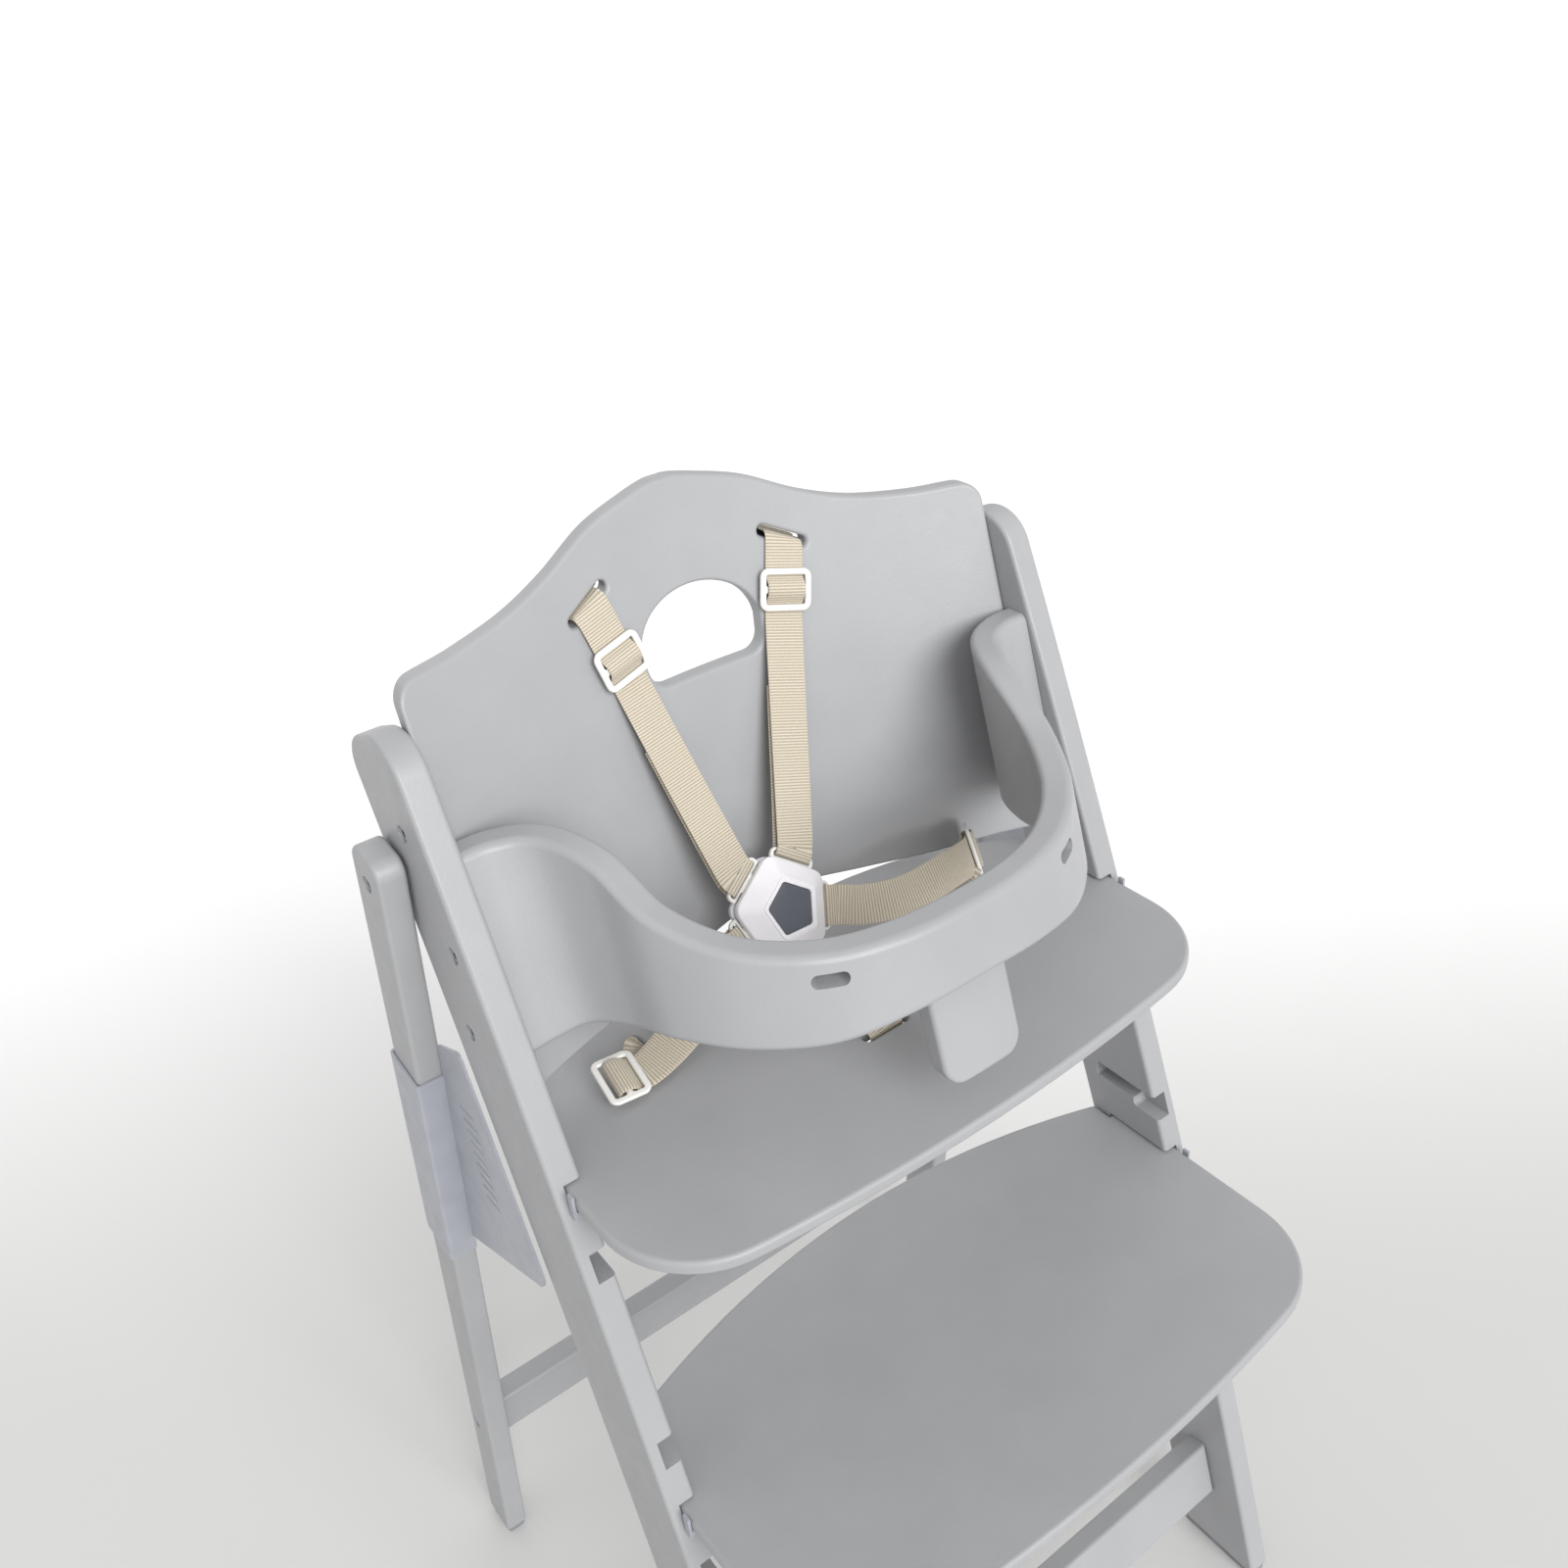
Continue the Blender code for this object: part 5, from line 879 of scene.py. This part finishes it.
def makeFoldGuards():
    wall, half, start = foldGuard["wall"], rearLeg["width"] / 2 + touch, rearDrop(foldGuard["top"], 0)
    wide, face, faceOut = half + wall, rearOuter + touch, rearOuter + touch + wall
    corners = [(-wide, rearInner), (-wide, faceOut), (wide, faceOut), (wide, rearInner), (half, rearInner),
               (half, face), (-half, face), (-half, rearInner)]
    outerRound, innerRound = wall * foldGuard["outerRound"], wall * foldGuard["innerRound"]
    radii = [0, outerRound, outerRound, 0, 0, innerRound, innerRound, 0]
    piece = sawBoard("channel", roundCorners(corners, radii, 6), foldGuard["length"])

    def stand(p):
        spot = rearLine(start + foldGuard["length"] / 2 - p.z, p.x)
        return Vector((p.y, spot.x, spot.y))

    shapeBy(piece, stand)
    seam, crest, low = -half - wall / 2, foldGuard["top"] + foldGuard["flap"], -foldGuard["foot"]
    gap, inner = foldGuard["gap"], rearInner + touch
    flapTop = start - foldGuard["flap"] * foldGuard["flapSeam"]
    corners = [rearLine(start, seam), rearLine(flapTop, seam - wall)]
    corners += [(legRear(h) + gap, h) for h in (crest, crest / 2, 0, low / 2, low)]
    corners.append(rearLine(start + foldGuard["length"] * foldGuard["tail"], seam))
    sheet = sawBoard("sheet", roundCorners(corners, [0, 0, wall * 3, 0, 0, 0, wall * 8, 0], 8), wall)
    carve(piece, standBoard(sheet, inner), "UNION")
    for k in range(foldGuard["ribs"]):
        height = -foldGuard["ribDrop"] - foldGuard["ribPitch"] * k
        front = legRear(height) + gap + foldGuard["ribFront"]
        end = rearLine(rearDrop(height, seam), seam)[0] - foldGuard["ribBack"]
        reach = min(foldGuard["ribLength"], (end - front) / 2)
        outline = slotOutline(((front + end) / 2, height), reach, foldGuard["ribWidth"])
        rib = sawBoard("rib", outline, foldGuard["ribRise"] + wall / 2)
        carve(piece, standBoard(rib, inner + wall / 2), "UNION")
    finishPair(piece, "fold_guard", clearPlastic, "rear_frame", "rear_frame")


makeFoldGuards()
print("fold guards made")


# Buckle: five-sided and tipped back between the child's legs, its front cover sloping in to a small face

buckle = {"place": (-0.0143, 0.0640, 0.0490), "turn": math.radians(2), "lift": math.radians(28.7),
          "spin": math.radians(-3.2), "radius": 0.0348, "front": 0.0132, "back": 0.0055, "skirt": 0.0045,
          "face": 0.0202, "badge": 0.0167, "badgeDrop": 0.0004, "key": 0.0028, "keyRoot": 0.002,
          "corner": 0.008, "blade": 0.0030, "bladeWidth": 0.014, "bladeStart": 0.0145, "bladeEdge": 0.0009,
          "bar": 0.0024, "barShare": 0.8, "window": 0.0031, "windowRound": 0.001, "round": 0.004, "sides": 10}
# Rings of the three shells: how far outside which radius, the corner round, and how far above which level
buckleRings = {
    "front": (("rim", -0.0008, 0.008, "seam", 0), ("rim", 0, 0.008, "seam", 0.0008),
              ("rim", 0, 0.008, "skirt", -0.0012), ("rim", -0.0002, 0.008, "skirt", -0.0004),
              ("rim", -0.0009, 0.008, "skirt", 0.0002), ("face", 0.0012, 0.0038, "face", -0.0012),
              ("face", 0.0004, 0.0035, "face", -0.0013), ("face", 0.0001, 0.0035, "face", -0.0008),
              ("face", -0.0002, 0.0035, "face", -0.0002), ("face", -0.0008, 0.0035, "face", 0),
              ("hole", 0.0010, 0.0032, "face", 0), ("hole", 0.0003, 0.0028, "face", -0.0003),
              ("hole", 0, 0.0026, "face", -0.0010), ("hole", 0, 0.0026, "face", -0.0030),
              ("hole", 0, 0.0026, "seam", 0.0006)),
    "button": (("badge", 0.0024, 0.0025, "badge", -0.0049), ("badge", 0.0024, 0.0025, "badge", -0.0036),
               ("badge", 0, 0.0025, "badge", -0.0036), ("badge", 0, 0.0025, "badge", -0.0007),
               ("badge", -0.0002, 0.0025, "badge", -0.0002), ("badge", -0.0007, 0.0022, "badge", 0),
               ("badge", -0.00668, 0.0015, "badge", 0.0002), ("badge", -0.01336, 0.0006, "badge", 0.0003)),
    "back": (("rim", -0.0008, 0.008, "rear", 0), ("rim", 0, 0.008, "rear", -0.0008),
             ("rim", 0, 0.008, "floor", 0.0022), ("rim", -0.0006, 0.008, "floor", 0.0009),
             ("rim", -0.0022, 0.007, "floor", 0), ("rim", -0.0060, 0.006, "floor", 0),
             ("rim", -0.0064, 0.006, "floor", 0.0005), ("rim", -0.0070, 0.006, "floor", 0.0005),
             ("rim", -0.0074, 0.006, "floor", 0), ("rim", -0.02436, 0.002, "floor", 0))}
slider = {"length": 0.026, "bar": 0.0040, "thick": 0.0026, "round": 0.0055, "edge": 0.0011,
          "windowRound": 0.0012, "clear": 0.0006, "plyGap": 0.0008, "drop": 0.0028, "rise": 0.0029,
          "pin": 0.0035, "pinLength": 0.040, "leftDrop": 0.035, "rightDrop": 0.0297, "shoulderShift": 0.0086}

buckleCentre = Vector(buckle["place"])
buckleRight = Vector((math.cos(buckle["turn"]), math.sin(buckle["turn"]), 0))
buckleOut = Vector((math.sin(buckle["turn"]) * math.cos(buckle["lift"]),
                    -math.cos(buckle["turn"]) * math.cos(buckle["lift"]), math.sin(buckle["lift"])))
buckleUp = buckleOut.cross(buckleRight)
apothem = buckle["radius"] * math.cos(math.pi / 5)
coverFace = buckle["blade"] / 2 + touch
outerBar = apothem + buckle["bar"] * buckle["barShare"] + buckle["window"]
tongueEnd = outerBar + buckle["bar"]
plyLift = slider["plyGap"] + web["thick"] / 2
sliderHalfWidth = web["width"] / 2 + slider["clear"] + slider["bar"]
tongueHalfWidth = web["width"] / 2 + slider["clear"] + buckle["bar"]
sliderWindow = (slider["length"] - slider["bar"] * 3) / 2


def towards(side):                      # unit directions to the corners, and halfway to the sides between
    angle = math.pi / 2 + buckle["spin"] + math.tau * side / 5
    return math.cos(angle), math.sin(angle)


def onBuckle(x, y, out):
    return buckleCentre + buckleRight * x + buckleUp * y + buckleOut * out


def pentagonRing(radius, corner, level):
    corners = [Vector(towards(k)) * radius for k in range(5)]
    return [onBuckle(*p, level) for p in roundCorners(corners, [corner] * 5, buckle["sides"])]


def makeBuckle():
    rim, badge, face = buckle["radius"], buckle["badge"], coverFace + buckle["front"]
    radii = {"rim": rim, "face": buckle["face"], "badge": badge, "hole": badge + touch}
    levels = {"seam": coverFace, "skirt": coverFace + buckle["skirt"], "face": face, "rear": -coverFace,
              "badge": face - touch - buckle["badgeDrop"], "floor": -coverFace - buckle["back"]}
    shells = {}
    for shell, rows in buckleRings.items():
        rings = [pentagonRing(radii[edge] + outside, corner, levels[level] + above)
                 for edge, outside, corner, level, above in rows]
        shells[shell] = turnOutwards(skinRings(shell, rings))
    root = -coverFace - buckle["keyRoot"]
    for k in range(5):                  # the keys that the two covers snap on
        x, y = Vector(towards(k)) * (rim - buckle["corner"] - touch)
        key = roundBar("key", onBuckle(x, y, root), onBuckle(x, y, coverFace - touch), buckle["key"], 20)
        carve(shells["back"], key, "UNION")
    finishPiece(shells["front"], "buckle_front_cover", buckleAbs)
    finishPiece(shells["button"], "buckle_button", buttonAbs, "buckle_button")
    finishPiece(shells["back"], "buckle_back_cover", buckleAbs)


def tongueFrame(index):
    x, y = towards(index + 0.5)
    outward = buckleRight * x + buckleUp * y
    return outward, buckleOut.cross(outward), buckleOut


def makeTongues():
    blade, side, wing = buckle["bladeWidth"] / 2, web["width"] / 2 + slider["clear"], tongueHalfWidth
    tip, start, turn = buckle["bladeStart"], apothem + touch, buckle["bar"]
    corners = [(tip, -blade), (start, -blade), (start, -wing), (tongueEnd, -wing), (tongueEnd, wing),
               (start, wing), (start, blade), (tip, blade)]
    radii = [turn, 0, turn / 2, buckle["round"], buckle["round"], turn / 2, 0, turn]
    outline = roundCorners(corners, radii, 8)
    window = roundedBox(outerBar - buckle["window"], -side, outerBar, side, buckle["windowRound"], 4)
    for index, name in enumerate(("left_shoulder", "left_waist", "crotch", "right_waist", "right_shoulder")):
        outward, wide, out = tongueFrame(index)
        piece = sawBoard("tongue", outline, buckle["blade"], buckle["bladeEdge"], [window], 4)
        shapeBy(piece, lambda p: buckleCentre + outward * p.x + wide * p.y + out * p.z)
        finishPiece(piece, "tongue_" + name, acetal)


makeBuckle()
makeTongues()
print("buckle and tongues made")


# Harness: ribbed webbing with plain selvedges, three-bar sliders, and pins behind the slots

# Shares of a hanging run: how far along it, and how far forward and up of the straight line, for its length
strap = {"run": 0.006, "returnGap": 0.0030, "returnShare": 0.30, "leftShift": (-0.0271, -0.0170, 0.0087),
         "leftRise": 0.0050, "leftTravel": (-0.985, 0.12, 0), "leftWide": (-0.10, -0.98, -0.17),
         "rightShift": 0.0138, "rightRise": 0.0317, "rightBackGap": 0.0229, "rightLead": 0.0070,
         "rightLeadRise": 0.0168, "rightTravel": (0.58, 0.725, -0.369), "rightWide": (0, 0.45, 0.89),
         "rightTurns": ((1, 1, (0, 0.95, 0.30)), (2.5, 1.8, (0, 0.70, 0.70))), "standOff": 1.4,
         "second": 0.56, "pinEdge": 0.0006, "ring": 0.95, "ringEnd": 0.8, "ringPast": 1.5,
         "shoulderShares": ((0.45, 0, -0.008), (0.85, 0, -0.004)),
         "leftShares": ((0.30, 0, -0.06), (0.68, 0, -0.055)),
         "rightShares": ((0.30, 0.13, 0.05), (0.62, 0.16, 0), (0.87, 0.09, -0.01)),
         "crotchShares": ((0.25, 0, 0.04), (0.65, 0, 0.01))}
plyRadius = slider["pin"] + touch + web["thick"] / 2
pinDrop = slider["pin"] + web["thick"] + touch * 2
innerTurn = slider["bar"] / 2 + sliderWindow - slider["thick"] / 4
barTurn = slider["bar"] / 2 + touch * 3
seatTop = boardLevel(0) + groove["thick"] / 2
upright = Vector((0, 0, 1))


def webPath(path):                      # corners cut until it is smooth, then even steps along it
    for _ in range(ribbing["cuts"]):
        smooth = [path[0]]
        for (start, wideStart), (end, wideEnd) in zip(path, path[1:]):
            smooth += [(start.lerp(end, share), wideStart.lerp(wideEnd, share)) for share in (0.25, 0.75)]
        path = smooth + [path[-1]]
    step = ribbing["pitch"] / ribbing["samples"]
    even, travelled, due = [], 0.0, 0.0
    for (start, wideStart), (end, wideEnd) in zip(path, path[1:]):
        length = (end - start).length
        while length and due <= travelled + length:
            share = (due - travelled) / length
            even.append((start.lerp(end, share), wideStart.lerp(wideEnd, share)))
            due += step
        travelled += length
    return even


def makeStrap(name, path):
    even, edge, ease = webPath(path), ribbing["edgeHalf"], ribbing["ease"]
    half, flat = web["width"] / 2, web["width"] / 2 - ribbing["selvedge"]
    rings, places = [], []
    for i, (point, wide) in enumerate(even):
        tangent = even[min(i + 1, len(even) - 1)][0] - even[max(i - 1, 0)][0]
        tangent, wide, thick = squareFrame(tangent, wide)
        wave = abs(math.sin(math.pi * i / ribbing["samples"])) ** ribbing["roundness"]
        rib = ribbing["core"] + ribbing["rise"] * wave
        section = [(-half, 0), (-half + ease, edge), (-flat, edge), (-flat + ease, rib), (0, rib),
                   (flat - ease, rib), (flat, edge), (half - ease, edge), (half, 0)]
        section += [(x, -z) for x, z in reversed(section[1:-1])]
        rings.append([point + wide * x + thick * z for x, z in section])
        places += [(i * ribbing["pitch"] / ribbing["samples"], x) for x, z in section]
    piece = skinRings(name, rings)
    layer = piece.data.uv_layers.new(name="strap")
    for loop in piece.data.loops:
        layer.data[loop.index].uv = places[loop.vertex_index]
    finishPiece(piece, "strap_" + name, webbing)


def squareFrame(travel, wide):
    travel, wide = Vector(travel).normalized(), Vector(wide)
    wide = (wide - travel * wide.dot(travel)).normalized()
    return travel, wide, travel.cross(wide)


def anchoredEnd(name, slot, away, outward, wide, boardThick):
    pin, r = -boardThick - pinDrop, plyRadius
    steps = ((-r, pin + r / 3), (-r, pin - r), (r, pin - r), (r, pin + r * 0.8), (r / 3, -boardThick),
             (r / 5, plyLift))
    centre, reach = slot + outward * pin, wide * slider["pinLength"] / 2
    piece = softenEnds(roundBar("pin", centre - reach, centre + reach, slider["pin"]), strap["pinEdge"])
    finishPiece(piece, "anchor_pin_" + name, blackSteel)
    return [(slot - away * across + outward * out, wide) for across, out in steps]


def makeSlider(name, centre, travel, wide, out, steps):     # gives back the webbing's way through it
    half, side, reach = slider["length"] / 2, web["width"] / 2 + slider["clear"], sliderWindow / 2
    outline = roundedBox(-half, -sliderHalfWidth, half, sliderHalfWidth, slider["round"], 10)
    windows = [roundedBox(middle - reach, -side, middle + reach, side, slider["windowRound"], 4)
               for middle in (-slider["bar"] / 2 - reach, slider["bar"] / 2 + reach)]
    piece = sawBoard("slider", outline, slider["thick"], slider["edge"], windows, 4)
    shapeBy(piece, lambda p: centre + travel * p.x + wide * p.y + out * p.z)
    finishPiece(piece, "slider_" + name, acetal)
    return [(centre + travel * along + out * off, wide) for along, off in steps]


def tongueLoop(index, widthBefore):
    outward, wide, out = tongueFrame(index)
    if wide.dot(widthBefore) < 0:
        wide = -wide
    ring = buckle["blade"] / 2 + touch + web["thick"] * strap["ring"]
    turn, past = outerBar - plyLift - web["thick"] / 4, tongueEnd + buckle["bar"] * strap["ringPast"]
    half = ((tongueEnd + strap["run"], plyLift), (past, ring * strap["ringEnd"]), (tongueEnd, ring),
            (turn, ring))
    steps = half + tuple((along, -off) for along, off in reversed(half))
    return [(buckleCentre + outward * along + out * off, wide) for along, off in steps]


def backNormal(side):
    return Vector((-side / math.sqrt(back["radius"] ** 2 - side ** 2), -1, chair["rake"])).normalized()


def backPoint(side, height, off):
    return Vector((side, backFront(side, height), height)) + backNormal(side) * off


def hungPath(leave, arrive, shares):
    span = (arrive[0] - leave[0]).length
    return [(leave[0].lerp(arrive[0], share) + Vector((0, -forward * span, up * span)),
             leave[1].lerp(arrive[1], share)) for share, forward, up in shares]


def makeShoulderStrap(name, sign, index, sliderDrop):
    slot = backPoint(sign * back["slotSide"], shoulderSlot, 0)
    normal, tilt = backNormal(slot.x), back["slotTilt"]
    alongSlot = backPoint(slot.x + math.cos(tilt) * web["width"] * sign,
                          slot.z - math.sin(tilt) * web["width"], 0) - slot
    down, slotWide, normal = squareFrame(normal.cross(alongSlot) * -sign, alongSlot * sign)
    path = anchoredEnd(name, slot, down, normal, slotWide, back["thick"])
    lift = plyLift * strap["standOff"] + slider["drop"]
    centre = backPoint(sign * (back["slotSide"] - slider["shoulderShift"]), shoulderSlot - sliderDrop, lift)
    travel, wide, out = squareFrame(centre - slot - normal * lift, slotWide)
    end, drop, rise = slider["length"] / 2 + slider["bar"], slider["drop"], slider["rise"]
    path += makeSlider(name, centre, travel, wide, out, (
        (-end, -drop), (-innerTurn, -drop), (-barTurn, rise), (barTurn, rise), (innerTurn, -drop),
        (end, -drop)))
    loop = tongueLoop(index, wide)[1:-1]
    (leave, leaveWide), (arrive, arriveWide), share = path[-1], loop[0], strap["returnShare"]
    plyEnd = leave.lerp(arrive, share) - out * strap["returnGap"]
    backUp = [(plyEnd, leaveWide.lerp(arriveWide, share))]
    makeStrap(name, path + hungPath(path[-1], loop[0], strap["shoulderShares"]) + loop + backUp)


def makeWaistStrap(name, sign, away, travel, wide, lead, shares, index):
    slot = Vector((sign * waistSlot, web["waistDepth"], seatTop))
    centre = slot + Vector(away)
    travel, wide, out = squareFrame(travel, wide)
    path = anchoredEnd(name, slot, Vector((sign, 0, 0)), upright, Vector((0, sign, 0)), groove["thick"])
    path += [(slot + Vector(step), Vector(turnedWide)) for step, turnedWide in lead]
    drop, rise, bar, end = slider["drop"], slider["rise"], slider["bar"], -slider["length"] / 2
    second, far = -drop - web["thick"] - slider["plyGap"], bar / 2 + sliderWindow * strap["second"]
    path += makeSlider(name, centre, travel, wide, out, (
        (end - bar / 3, second), (far, second), (far, rise), (-barTurn, rise), (-innerTurn, -drop),
        (end - bar, -drop)))
    loop = tongueLoop(index, wide)
    makeStrap(name, path + hungPath(path[-1], loop[0], shares) + loop)


def makeHarness():
    makeShoulderStrap("left_shoulder", -1, 0, slider["leftDrop"])
    makeShoulderStrap("right_shoulder", 1, 4, slider["rightDrop"])
    makeWaistStrap("left_waist", -1, strap["leftShift"], strap["leftTravel"], strap["leftWide"],
                   [((-plyLift, 0, strap["leftRise"]), (0, -1, 0))], strap["leftShares"], 1)
    lead, rise, side = strap["rightLead"], strap["rightLeadRise"], waistSlot + strap["rightShift"]
    depth = backFront(side, seatTop + strap["rightRise"]) - strap["rightBackGap"]
    makeWaistStrap("right_waist", 1, (strap["rightShift"], depth - web["waistDepth"], strap["rightRise"]),
                   strap["rightTravel"], strap["rightWide"],
                   [((-lead / 2, -lead * far, rise * high), way) for far, high, way in strap["rightTurns"]],
                   strap["rightShares"], 3)
    slot, across = Vector((0, -web["crotchInset"], seatTop)), Vector((1, 0, 0))
    path = anchoredEnd("crotch", slot, Vector((0, 1, 0)), upright, across, groove["thick"])
    loop = tongueLoop(2, across)
    makeStrap("crotch", path + hungPath(path[-1], loop[0], strap["crotchShares"]) + loop)


makeHarness()
print("harness made")

# CAD nodes that stay as they are, with a finished material
for node, look in (("pivot_washer_left", acetal), ("pivot_washer_right", acetal), ("buckle_spring", steel)):
    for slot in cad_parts[node].material_slots:
        slot.material = look["material"]
print("frame nodes dressed")
